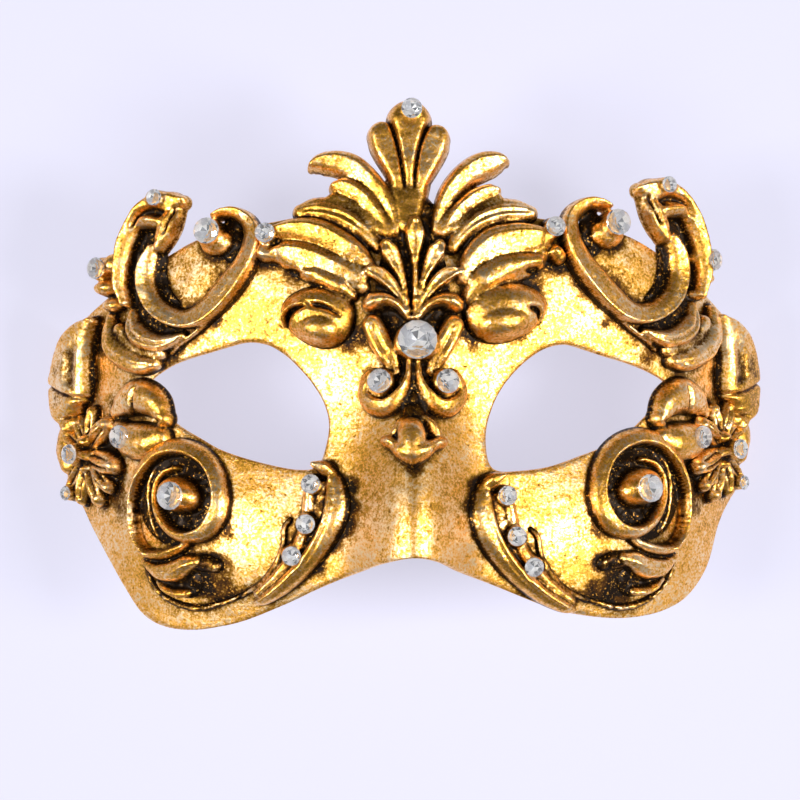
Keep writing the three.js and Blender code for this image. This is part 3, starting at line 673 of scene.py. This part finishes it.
CHEEK_VOLUTE = [
    ("ground", [(58.6, -24.4, 9.6), (62, -24.6, 12)], 0.6),
    ("ground", [(69, -40, 2.6), (62, -44, 4), (57.6, -45.8, 3.8)], 0.6),
    ("scroll", [(69.6, -38.6, 0.8), (72.8, -35.6, 0.7), (74.4, -31, 0.7), (74.6, -26, 0.8),
     (73.2, -21, 1.3), (70.6, -16.8, 1.9), (66.6, -13.3, 2.1), (61, -11.9, 2.2), (55.6, -12.9, 2.3),
     (51.2, -15.8, 2.3), (48.6, -20, 2.2), (47.6, -25, 2.1), (48.8, -29.5, 2.2), (52, -33, 2),
     (57, -34.3, 1.6), (61.4, -33.2, 1.5), (64.8, -30, 1.4), (66.4, -25.8, 1.2), (66, -21.6, 1),
     (63.8, -18.6, 0.8), (60.4, -17.4, 0.6)], 5.1),
    ("egg", [(65.4, -22.2, 4.4), (53.2, -25.6, 4.4)], 7.4),
    ("cord", [(66, -15.6, 0.4), (69.4, -20, 0.5), (70, -25.4, 0.6), (69, -30.6, 0.6),
     (66.8, -34.6, 0.5)], 1.7),
    ("leaf", [(57, -35.8, 0.9), (61, -37.8, 1.4), (65.6, -39, 1.4), (70, -38.8, 1.2),
     (72.6, -37.4, 0.8)], 3.9),
    ("lobe", [(71.2, -40.6, 0.8), (66, -42.8, 2.3), (61, -42.6, 3), (57.6, -41, 2.6),
     (54.6, -40, 1.6)], 4.3, TWO_FLUTES),
    ("lobe", [(56, -41, 1.6), (53, -40.6, 2.2), (49.8, -41.2, 1.8)], 2),
    ("lobe", [(67, -45.8, 0.7), (62.4, -48, 1.2), (57.6, -48.2, 1.1)], 3),
    ("cord", [(71.8, -41.4, 0.5), (69, -46.6, 0.7), (63, -50.6, 0.8), (55, -52, 0.8),
     (48, -50.4, 0.7), (43, -48.6, 0.6)], 1.2),
]
NOSE_BAND = [
    ("cord", [(30.2, -29.6, 0.6), (31.6, -31.6, 0.7), (31.9, -35.8, 0.7), (34, -40.6, 0.7),
     (37.6, -45, 0.7), (42.6, -48.4, 0.7)], 1.8),
    ("ground", [(21.4, -22, 2.6), (23.4, -29, 3.2), (27.4, -36.6, 3.2), (33, -43, 2.4)], 2.2),
    ("lobe", [(24.8, -22, 1.8), (25.4, -27.6, 2)], 3.2),
    ("lobe", [(26.2, -30, 1.4), (27.2, -34.4, 1.7), (29.8, -38.8, 1.6), (33.6, -43.2, 1.4),
     (38.4, -47.4, 1)], 3.8, VEIN),
    ("leaf", [(18.5, -20.4, 2.2), (18, -24.4, 2.7), (18.7, -29.2, 2.8), (21.6, -34.8, 2.7),
     (25.8, -40, 2.6), (30.8, -44.8, 2.4), (35.8, -48.4, 1.8), (38, -49.4, 1.2)], 5.2, CREASE),
    ("slab", [(19, -18.6, 1.5), (21, -17, 1.9), (23.2, -16.4, 1.1)], 5.6),
]


def petals(centre, table):
    """Long folded petals: (outward and up from the middle to the tip, half width, height)."""
    strokes = []
    for reach, rise, wide, height in table:
        path = [
            (centre[0] + reach * part, centre[1] + rise * part, wide * share)
            for part, share in ((0.16, 0.6), (0.4, 0.95), (0.66, 1), (0.84, 0.8))
        ]
        strokes.append(("petal", path, height, PETAL_FLUTES))
    return strokes


FLOWER_MIDDLE = (94, -14.2)
FLOWER = [
    ("ground", [(86, -17, 5.4), (92, -14, 7), (99, -13, 6)], 0.9),
    ("ground", [(91, -15, 4.6), (96, -14, 4.6)], 3),
    ("dome", [(101.6, -5.4, 3), (104.6, -11, 4.4), (102, -17.4, 3)], 6),
] + petals(FLOWER_MIDDLE, [
    (-2.6, 12.8, 2.5, 4), (7, 12, 2.8, 4.2), (-6.6, -13.4, 3.1, 4.6), (4, -13.6, 2.9, 4.2),
     (11, -11, 2.8, 4.6),
    (-11, 9.2, 3.1, 5.2), (-14.6, -3.4, 3.2, 5.6), (-11.6, -9.8, 2.6, 4.4), (13, 6, 3, 5),
     (13.4, -2, 3, 5),
]) + [
    ("egg", [(89.4, -12, 1.9), (94.4, -9.8, 1.9)], 6.2),
    ("egg", [(88.6, -15.4, 1.7), (92.6, -13.6, 1.7)], 6.8),
    ("egg", [(92.4, -17.4, 1.8), (96.6, -15, 1.8)], 6.6),
    ("egg", [(89.8, -17.4, 1.3), (93.2, -18.6, 1.3)], 5.8),
]

# Dark patches on the shell and on the castings, partly wax left in hollows and partly painted
# shade: in the recesses beside and within the castings, and broad ones on the nose and the plate
# inside the upper scroll, which the lights leave dim. (outward, up, radius, darkness).
SHELL_SHADES = [
    (15.4, -21, 2.4, 0.62), (15, -25.6, 2.6, 0.66), (16.2, -30.4, 2.8, 0.62),
    (19.4, -35.6, 2.6, 0.56), (23.8, -41, 2.4, 0.5), (12.6, -27, 5, 0.2), (0, -16.6, 2.6, 0.5),
    (1.6, -6, 3.4, 0.46), (1.4, -12, 4.4, 0.28), (4, -24, 13, 0.16), (0, -36, 9, 0.14),
    (84, -20, 4.6, 0.5), (82, -26, 4, 0.42), (85, -1, 3.4, 0.36), (93, 6, 3, 0.5),
    (89, 13, 3.2, 0.5), (14.4, 15.4, 3.2, 0.4), (36, 33.6, 3.4, 0.5), (30, 29.6, 3, 0.42),
    (50, 19, 2, 0.42), (63, 10.6, 3, 0.42), (45.8, -33, 2.8, 0.36), (48, -41, 3.4, 0.42),
    (52.6, -46.4, 4, 0.8), (47.6, -46.4, 2.8, 0.6), (42, -49, 3, 0.24), (56, 30, 9, 0.22),
    (60, 24, 5, 0.3),
]
CASTING_SHADES = [
    (98.4, 9, 4.4, 0.34), (96.4, 4.4, 2.4, 0.3), (101, 0.6, 3, 0.24), (73.4, -2.4, 2.6, 0.34),
    (68.4, -9.4, 2.2, 0.3), (71.6, 40.6, 3, 0.32), (65.4, 44.6, 2.2, 0.3), (75.8, 30, 3, 0.2),
    (70, 27, 3, 0.2), (80.6, 15.6, 3, 0.26), (52.2, -41, 3.8, 0.42), (70.6, -27, 3, 0.3),
    (23, 24.4, 3.4, 0.18), (20.6, 19.8, 2.2, 0.22), (14.8, 45.6, 2.6, 0.22),
    (2.6, 51.6, 3.2, 0.26), (86, -18.6, 2.6, 0.24), (93, -19.4, 2.4, 0.3), (90, -6, 2.4, 0.26),
]

# Stones: (label, where, radius, height of its girdle's seat off the face).
MIDDLE_STONES = [("top", (-0.3, 70.8), 2.6, 7.4), ("centre", (0.7, 13.7), 4.8, 6.6)]
SIDE_STONES = {
    "crest": [("leaf", (35.9, 40.3), 2.5, 5.6)],
    "middle": [("curl", (6.9, 4), 3, 4.8)],
    "upper_scroll": [("horn", (65.8, 49.8), 2.1, 7.2), ("volute", (50.6, 40.8), 3.3, 7.4)],
    "outer_knobs": [("outer", (86.4, 33), 2.8, 6)],
    "flower": [("bud", FLOWER_MIDDLE, 2.6, 9.4), ("petal", (101.4, -24.4), 1.9, 5.8)],
    "eye_leaf": [("eye", (77.8, -9.6), 2.9, 5.4)],
    "cheek_volute": [("cheek", (59.6, -24.4), 3.5, 8.2)],
    "nose_band": [
        ("upper", (24.3, -21), 2.4, 4.4),
        ("middle", (25.6, -30.4), 2.4, 4.6),
        ("lower", (29.2, -37.8), 2.4, 4.6),
    ],
}
CASTINGS = {
    "upper_scroll": [("upper_scroll", UPPER_SCROLL), ("outer_knobs", OUTER_KNOBS)],
    "temple_leaf": [("temple_leaf", TEMPLE_LEAF)],
    "flower": [("flower", FLOWER)],
    "eye_leaf": [("eye_leaf", EYE_LEAF)],
    "cheek_volute": [("cheek_volute", CHEEK_VOLUTE)],
    "nose_band": [("nose_band", NOSE_BAND)],
}
HANDS = {-1: "_left", 1: "_right"}


def knobs_of(name, side):
    stones = SIDE_STONES.get(name, [])
    return [(placed(at, side, name), radius, seat) for _, at, radius, seat in stones]


def sculpt():
    """The relief of every casting, by the name of its node."""
    strokes = [(s, 1, "middle") for s in CREST_MIDDLE]
    knobs = [(at, radius, seat) for _, at, radius, seat in MIDDLE_STONES]
    for side in HANDS:
        leaves = CREST_LEFT if side < 0 else CREST_RIGHT
        strokes += [(s, side, "middle") for s in CREST_SIDE + leaves]
        knobs += knobs_of("middle", side) + knobs_of("crest", side)
    reliefs = {"crest": Relief(strokes, knobs)}
    for side, hand in HANDS.items():
        for name, groups in CASTINGS.items():
            strokes = [(s, side, group) for group, table in groups for s in table]
            knobs = [k for group, _ in groups for k in knobs_of(group, side)]
            reliefs[name + hand] = Relief(strokes, knobs)
    return reliefs


# Materials
class Finish:
    """A material built from procedural nodes around one shader."""

    def __init__(self, name):
        self.material = bpy.data.materials.new(name)
        self.material.use_nodes = True
        self.tree = self.material.node_tree
        self.shader = self.tree.nodes["Principled BSDF"]

    def node(self, kind, **settings):
        made = self.tree.nodes.new(kind)
        for key, value in settings.items():
            setattr(made, key, value)
        return made

    def feed(self, sockets, values):
        """Links each value that is a socket, and sets each that is a number or a colour."""
        for socket, value in zip(sockets, values):
            if isinstance(value, bpy.types.NodeSocket):
                self.tree.links.new(value, socket)
            elif isinstance(value, tuple):
                socket.default_value = (*value, 1)
            else:
                socket.default_value = value

    def dress(self, made, inputs):
        self.feed([made.inputs[name] for name in inputs], inputs.values())

    def noise(self, scale, detail, rough=0.55):
        made = self.node("ShaderNodeTexNoise")
        where = self.node("ShaderNodeTexCoord").outputs["Object"]
        self.dress(made, {"Vector": where, "Scale": scale, "Detail": detail, "Roughness": rough})
        return made.outputs["Fac"]

    def ramp(self, source, stops):
        """A colour ramp over a value; stops are (place, colour or value)."""
        made = self.node("ShaderNodeValToRGB")
        band = made.color_ramp
        while len(band.elements) < len(stops):
            band.elements.new(0.5)
        for element, (place, colour) in zip(band.elements, stops):
            element.position = place
            element.color = (*(colour if isinstance(colour, tuple) else [colour] * 3), 1)
        self.tree.links.new(source, made.inputs["Fac"])
        return made.outputs["Color"]

    def maths(self, operation, first, second):
        made = self.node("ShaderNodeMath", operation=operation)
        self.feed(made.inputs, (first, second))
        return made.outputs["Value"]

    def times(self, first, second):
        return self.maths("MULTIPLY", first, second)

    def total(self, *parts):
        """The sum of (value, weight) pairs."""
        value, weight = parts[-1]
        last = self.times(value, weight)
        return self.maths("ADD", self.total(*parts[:-1]), last) if parts[1:] else last

    def mixed(self, share, first, second):
        made = self.node("ShaderNodeMix", data_type="RGBA")
        self.feed([s for s in made.inputs if s.enabled], (share, first, second))
        return next(s for s in made.outputs if s.enabled)

    def bump(self, height, strength, distance):
        made = self.node("ShaderNodeBump")
        self.dress(made, {"Strength": strength, "Distance": distance, "Height": height})
        return made.outputs["Normal"]


PALE_GOLD = (1.0, 0.74, 0.42)
GOLD = (0.95, 0.45, 0.06)
DEEP_GOLD = (0.50, 0.25, 0.025)
# Colours of the dark wax, which also paint the shade in crevices and dim patches.
RUST = (0.34, 0.165, 0.018)
UMBER = (0.10, 0.039, 0.007)
SOOT = (0.010, 0.005, 0.002)
LEAF_STOPS = [(0.41, DEEP_GOLD), (0.49, GOLD), (0.58, PALE_GOLD)]
# The colours of wax and painted shade that darken the leaf as grime_and_shade deepens: (colour,
# stops).
WAX_AND_SHADE_COATS = (
    (RUST, [(0.1, 0.0), (0.26, 0.55), (0.42, 1.0)]),
    (UMBER, [(0.3, 0.0), (0.52, 1.0)]),
    (SOOT, [(0.5, 0.0), (0.74, 1.0)]),
)
PAPER_STOPS = [(0.3, (0.56, 0.40, 0.26)), (0.5, (0.78, 0.62, 0.45)), (0.7, (0.86, 0.74, 0.58))]


def gold_leaf(name, age, rough):
    """Worn gold leaf over sandy gesso, with dark wax left in the hollows and painted shade in the
    crevices and dim patches.
    """
    made = Finish(name)
    wax_and_shade = made.node("ShaderNodeAttribute", attribute_name="wax_and_shade").outputs["Fac"]
    cloud = made.noise(60, 4)
    lumps = made.noise(420, 4, 0.6)
    sand = made.noise(1500, 4, 0.65)
    mottle = made.total((sand, 0.55), (lumps, 0.45))
    # Wax and painted shade from the attribute, broken up by the leaf's mottle.
    grime_and_shade = made.maths("ADD", wax_and_shade, made.times(made.maths("SUBTRACT", 0.5, mottle), age))
    colour = made.ramp(made.total((cloud, 0.28), (sand, 0.5), (lumps, 0.22)), LEAF_STOPS)
    for wax, stops in WAX_AND_SHADE_COATS:
        colour = made.mixed(made.ramp(grime_and_shade, stops), colour, wax)
    pits = made.ramp(made.total((sand, 0.5), (lumps, 0.5)), [(0.33, 1.0), (0.38, 0.0)])
    colour = made.mixed(made.times(pits, 0.8), colour, UMBER)
    bright_grains = made.ramp(sand, [(0.6, 0.0), (0.66, 1.0)])
    flecks = made.times(bright_grains, made.ramp(grime_and_shade, [(0.3, 0.0), (0.5, 0.75)]))
    gloss = [(0.35, rough + 0.1), (0.5, rough), (0.65, rough - 0.08)]
    normal = made.bump(made.maths("SUBTRACT", mottle, made.times(pits, 0.3)), 1.0, 0.0002)
    made.dress(made.shader, {
        "Base Color": made.mixed(flecks, colour, GOLD),
        "Metallic": made.ramp(grime_and_shade, [(0.4, 1.0), (0.8, 0.6)]),
        "Roughness": made.ramp(mottle, gloss),
        "Specular IOR Level": 0.2,
        "Normal": normal,
        "Coat Normal": normal,
        "Coat Weight": made.ramp(grime_and_shade, [(0.15, 0.15), (0.45, 0.0)]),
        "Coat Roughness": 0.2,
        "Coat IOR": 1.6,
    })
    return made.material


def gesso(name):
    """The plain papier mache inside, primed and yellowed."""
    made = Finish(name)
    cloud = made.noise(45, 4)
    fibre = made.noise(500, 5, 0.65)
    made.dress(made.shader, {
        "Base Color": made.ramp(made.total((cloud, 0.7), (fibre, 0.3)), PAPER_STOPS),
        "Roughness": 0.75,
        "Normal": made.bump(fibre, 0.4, 0.0003),
    })
    return made.material


def clear_glass(name):
    made = Finish(name)
    made.dress(made.shader, {
        "Base Color": (1.0, 1.0, 1.0), "Roughness": 0.0, "IOR": 1.55, "Transmission Weight": 0.87,
    })
    return made.material


def foil(name, painted_light_tint):
    """The silvered back of a stone, slightly tarnished, tinted bright, grey and dark in copies that
    paint glints and shade onto the facets.
    """
    made = Finish(name)
    tarnished = tuple(0.85 * c for c in painted_light_tint)
    made.dress(made.shader, {
        "Base Color": made.ramp(made.noise(600, 3), [(0.35, tarnished), (0.6, painted_light_tint)]),
        "Metallic": 0.2,
        "Roughness": 0.25,
    })
    return made.material


shell_gold = gold_leaf("shell_gold", 1.5, 0.42)
casting_gold = gold_leaf("casting_gold", 1.8, 0.35)
inside_paper = gesso("inside_paper")
stone_glass = clear_glass("stone_glass")
# Bright, grey and dark copies of the foil: painted glints, half light and painted shade on a
# stone's facets.
stone_foils_painted_light = [
    foil("stone_foil_painted_glint", (1.0, 1.0, 1.0)),
    foil("stone_foil_painted_half_light", (0.62, 0.64, 0.7)),
    foil("stone_foil_painted_shade", (0.06, 0.07, 0.09)),
]

BROW_LINE = spline(UPPER_RIM, RIM_STEPS)
reliefs = sculpt()


def build_casting(name, relief):
    edge_out, edge_height = 0.12, 0.45

    def top(u, y):
        return np.maximum(THIN_EDGE, relief.value(relief.height, u, y))

    def front(u, y):
        return over(u, y, top(u, y))

    def back(u, y):
        return over(u, y, np.full(np.shape(u), -BACK_DEPTH))

    def rings(u, y, outward):
        push = outward * edge_out
        return [over(u + push[:, 0], y + push[:, 1], top(u, y) * edge_height)]

    points, faces, _, spots = closed_sheet(relief.u, relief.y, relief.inside, front, back, rings)
    piece = add_mesh(name + "_gilt", points, faces, [casting_gold])
    # Edges that stand clear above the brow, with no shell beneath them, are left lighter: less wax
    # and painted shade.
    u, y, rim = spots
    clear = y - np.interp(u, BROW_LINE[:, 0], BROW_LINE[:, 1])
    edge = ease(1 - relief.value(relief.inside, u, y) / 2)
    clear_edge_lightening = 1 - CLEAR_EDGE_LIGHTENING * ease(clear / 3) * edge
    # Random worn patches, and wax and painted shade from the castings' shade table.
    worn_and_shade = 0.18 * unit(noise(u, y, 3.2, 31) - 0.2) + shade(u, y, CASTING_SHADES)
    tone = unit(relief.value(relief.wax_and_shade, u, y) + worn_and_shade) * clear_edge_lightening
    paint(piece, "wax_and_shade", np.concatenate([tone, np.full(len(u), BACK_TONE), RIM_TONE * tone[rim]]))
    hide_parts(name)
    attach(piece, "root")


def inside_polygon(u, y, outline):
    """Signed distance inside a closed outline."""
    nearest = np.full(u.shape, np.inf)
    crossed = np.zeros(u.shape, bool)
    for (au, ay), (bu, by) in zip(outline, np.roll(outline, -1, axis=0)):
        length = (bu - au) ** 2 + (by - ay) ** 2
        t = unit(((u - au) * (bu - au) + (y - ay) * (by - ay)) / length)
        nearest = np.minimum(nearest, np.hypot(u - au - t * (bu - au), y - ay - t * (by - ay)))
        if ay != by:
            at = au + (y - ay) * (bu - au) / (by - ay)
            crossed ^= ((ay > y) != (by > y)) & (u < at)
    return np.where(crossed, nearest, -nearest)


def shade(u, y, table):
    """How strongly a surface is darkened at a table's patches: wax left in broad hollows, and
    painted shade in recesses and on broad parts the lights leave dim.
    """
    tone = np.zeros(np.shape(u))
    ragged = 1 + 0.35 * noise(u, y, 2.4, 21)
    for side in HANDS:
        for s, up, wide, depth in table:
            away = np.hypot(u - side * s, y - up) * ragged / wide
            tone = np.maximum(tone, depth * np.exp(-(away**3)))
    return tone


def build_shell():
    columns = np.linspace(-WRAP_END, WRAP_END, int(2 * WRAP_END / SHELL_PITCH) + 1)
    rows = np.arange(*SHELL_SPAN, SHELL_PITCH)
    grid = np.meshgrid(columns, rows)
    low = spline(LOWER_RIM, RIM_STEPS)
    above = grid[1] - np.interp(columns, low[:, 0], low[:, 1])
    below = np.interp(columns, BROW_LINE[:, 0], BROW_LINE[:, 1]) - grid[1]
    eyes = np.maximum(*[
        inside_polygon(*grid, spline(eye, EYE_STEPS, True)) for eye in (LEFT_EYE, RIGHT_EYE)
    ])
    inside = np.minimum(np.minimum(above, below), -eyes) - EDGE_INSET
    beside_eye = ease(1 - np.abs(eyes) / 8)

    def front(u, y):
        """Slightly uneven, but even towards the ends that the mask lies on."""
        uneven = 0.18 * noise(u, y, 13, 1) + 0.06 * noise(u, y, 2.2, 2)
        return over(u, y, uneven * ease((WRAP_END - np.abs(u)) / 12) - 0.05)

    def nearest(line, at):
        cells = np.round((at - line[0]) / (line[1] - line[0])).astype(int)
        return np.clip(cells, 0, len(line) - 1)

    def under(u, y, depth):
        """A point below the surface, straight down near the eyes and square to it elsewhere."""
        share = beside_eye[nearest(rows, y), nearest(columns, u)][:, None]
        normal = face_normal(u, y)
        way = normal * (1 - share) + np.array([0, 0, 1.0]) * share
        way /= np.linalg.norm(way, axis=1, keepdims=True)
        run = depth / np.maximum(0.5, (way * normal).sum(axis=1, keepdims=True))
        return face_point(u, y) - way * run

    def back(u, y):
        return under(u, y, SHELL_THICKNESS)

    def rings(u, y, outward):
        made = []
        for out, depth in EDGE_RINGS:
            push = np.where(np.abs(u) > WRAP_END - 1.0, 0, out)
            made.append(under(u + outward[:, 0] * push, y + outward[:, 1] * push, depth))
        return made

    points, faces, sizes, (u, y, _) = closed_sheet(*grid, inside, front, back, rings)
    points[:, 2] = np.maximum(points[:, 2], 0)
    slots = np.concatenate([np.zeros(sizes[0]), np.ones(sizes[1]), np.zeros(sizes[2])])
    band = sizes[2] // (len(EDGE_RINGS) + 1)
    slots[sizes[0] + sizes[1] + PAPER_BAND * band:] = 1
    piece = add_mesh("shell_gilt", points, faces, [shell_gold, inside_paper], slots)
    # A ragged dark halo round each casting: partly wax gathered there, partly painted shade where
    # the casting meets the shell.
    near = np.max([relief.value(relief.inside, u, y) for relief in reliefs.values()], axis=0)
    patchy = 0.5 + 0.5 * noise(u, y, 7, 11)
    ragged = 0.3 + 2.2 * patchy * (0.6 + 0.4 * noise(u, y, 1.5, 12))
    halo = (0.26 + 0.5 * patchy) * np.exp(-np.maximum(0, -near) / np.maximum(0.3, ragged))
    tone = unit(halo + shade(u, y, SHELL_SHADES))
    paint(piece, "wax_and_shade", np.concatenate([tone, np.full(len(points) - len(tone), INSIDE_TONE)]))
    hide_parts("shell")
    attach(piece, "root")


# A stone's rings of corners, as shares of its radius: (out, up, corners, turn in corners).
STONE_RINGS = {
    "table": (0.55, 0.4, 8, 0),
    "star": (0.8, 0.24, 8, 0.5),
    "girdle": (1.0, 0.02, 16, 0),
    "belt": (1.0, -0.04, 16, 0),
    "pavilion": (0.5, -0.42, 8, 0.5),
}
STONE_KEEL = -0.6
STONE_LEAN = 0.5
# The foil copy on each facet of a stone's back, taken in turn: a painted pattern of glints, half
# light and shade.
FOIL_GLINT_AND_SHADE_ORDER = (0, 1, 0, 2, 0, 0, 1, 1, 2, 0, 0, 1, 0, 1, 0, 0, 1, 0, 2)


def build_stone(label, spot, radius, seat):
    """A foiled brilliant: a glass crown with a table, and a silvered point below the girdle.

    It leans from the face's own direction towards the front."""
    spot = np.array(spot, float)
    middle = face_point(*spot)
    axis = face_normal(*spot) + np.array([0, 0, STONE_LEAN])
    axis /= np.linalg.norm(axis)
    east = np.cross([0, 1.0, 0], axis)
    east /= np.linalg.norm(east)
    north = np.cross(axis, east)
    spin = spot.sum()
    points = []
    for share, rise, count, turn in STONE_RINGS.values():
        for angle in 2 * np.pi * (np.arange(count) + turn) / count + spin:
            way = east * math.cos(angle) + north * math.sin(angle)
            points.append(middle + axis * (seat + rise * radius) + radius * share * way)
    points.append(middle + axis * (seat + STONE_KEEL * radius))
    table, star, girdle, belt, pavilion, keel = 0, 8, 16, 32, 48, 56
    faces = [list(range(8))]
    for k in range(8):
        after, before = (k + 1) % 8, (k - 1) % 8
        a, b, c = [girdle + (2 * k + d) % 16 for d in range(3)]
        faces += [
            [table + k, star + k, table + after], [star + k, a, b], [star + k, b, c],
            [table + k, star + before, a, star + k],
        ]
    for k in range(16):
        after = (k + 1) % 16
        faces.append([girdle + k, belt + k, belt + after, girdle + after])
    crown = len(faces)
    for k in range(8):
        here, before = pavilion + k, pavilion + (k - 1) % 8
        a, b, c = [belt + (2 * k + d) % 16 for d in range(3)]
        faces += [[b, a, here], [c, b, here], [a, before, here], [here, before, keel]]
    # The back's facets take the bright, grey and dark foils in turn: painted glints and painted
    # shade.
    slots = [0] * crown + [1 + FOIL_GLINT_AND_SHADE_ORDER[k % len(FOIL_GLINT_AND_SHADE_ORDER)] for k in range(len(faces) - crown)]
    name = f"rhinestone_{label}"
    piece = add_mesh(name + "_cut", points, faces, [stone_glass, *stone_foils_painted_light], slots, False)
    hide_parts(name)
    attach(piece, "root")


build_shell()
for name, relief in reliefs.items():
    build_casting(name, relief)
for label, at, radius, seat in MIDDLE_STONES:
    build_stone(label, at, radius, seat)
for side, hand in HANDS.items():
    for casting, stones in SIDE_STONES.items():
        for label, at, radius, seat in stones:
            build_stone(label + hand, placed(at, side, casting), radius, seat)


# Floor, light and camera. Floor and lights are in m, the camera in mm.
FLOOR_HALF = 3.0
FLOOR_DROP = 0.0002
LIGHT_AIM = Vector((0, 0, 0.04))
# Lights: (name, place, size, power).
SOFTBOXES = (
    ("left_softbox", (-0.65, -0.1, 0.75), (0.25, 0.4), 7.7),
    ("right_softbox", (0.65, -0.1, 0.75), (0.25, 0.4), 9.4),
    ("top_panel", (0, -0.1, 1.4), (1.0, 0.8), 1.2),
)
WORLD_COLOUR = (1.0, 0.98, 0.96)
WORLD_STRENGTH = 0.1
CAMERA_DISTANCE = 700.0
CAMERA_TARGET = (-2.4, 0.0, 40.0)
CAMERA_YAW = math.radians(1.8)
CAMERA_ROLL = math.radians(0.2)
SENSOR_WIDTH = 36
VIEW_WIDTH = 202


def build_floor():
    a, b = -FLOOR_HALF, FLOOR_HALF
    mesh = bpy.data.meshes.new("floor")
    mesh.from_pydata([(a, a, 0), (b, a, 0), (b, b, 0), (a, b, 0)], [], [(0, 1, 2, 3)])
    floor = add_object("floor", mesh)
    white = Finish("floor_white")
    white.dress(white.shader, {
        "Base Color": (0.2, 0.2, 0.25),
        "Roughness": 0.85,
        "Emission Color": (0.84, 0.83, 1.0),
        "Emission Strength": 0.68,
    })
    mesh.materials.append(white.material)
    floor.location.z = -FLOOR_DROP


def build_softbox(name, place, size, power):
    light = bpy.data.lights.new(name, "AREA")
    light.shape = "RECTANGLE"
    light.size, light.size_y = size
    light.energy = power
    lamp = add_object(name, light)
    lamp.location = place
    lamp.rotation_euler = (LIGHT_AIM - Vector(place)).to_track_quat("-Z", "Y").to_euler()


def build_camera():
    turn = Matrix.Rotation(-CAMERA_YAW, 4, "Y") @ Matrix.Rotation(CAMERA_ROLL, 4, "Z")
    place = Vector(CAMERA_TARGET) + turn.col[2].xyz * CAMERA_DISTANCE
    data = bpy.data.cameras.new("camera")
    data.sensor_width = SENSOR_WIDTH
    data.lens = SENSOR_WIDTH * CAMERA_DISTANCE / VIEW_WIDTH
    data.clip_start = 0.01
    camera = add_object("camera", data)
    camera.matrix_world = Matrix.Translation(to_frame(place)) @ turn
    bpy.context.scene.camera = camera


build_floor()
build_camera()
for softbox in SOFTBOXES:
    build_softbox(*softbox)
world = bpy.data.worlds.new("studio")
bpy.context.scene.world = world
world.use_nodes = True
background = world.node_tree.nodes["Background"]
background.inputs["Color"].default_value = (*WORLD_COLOUR, 1)
background.inputs["Strength"].default_value = WORLD_STRENGTH
bpy.context.scene.view_settings.view_transform = "Standard"
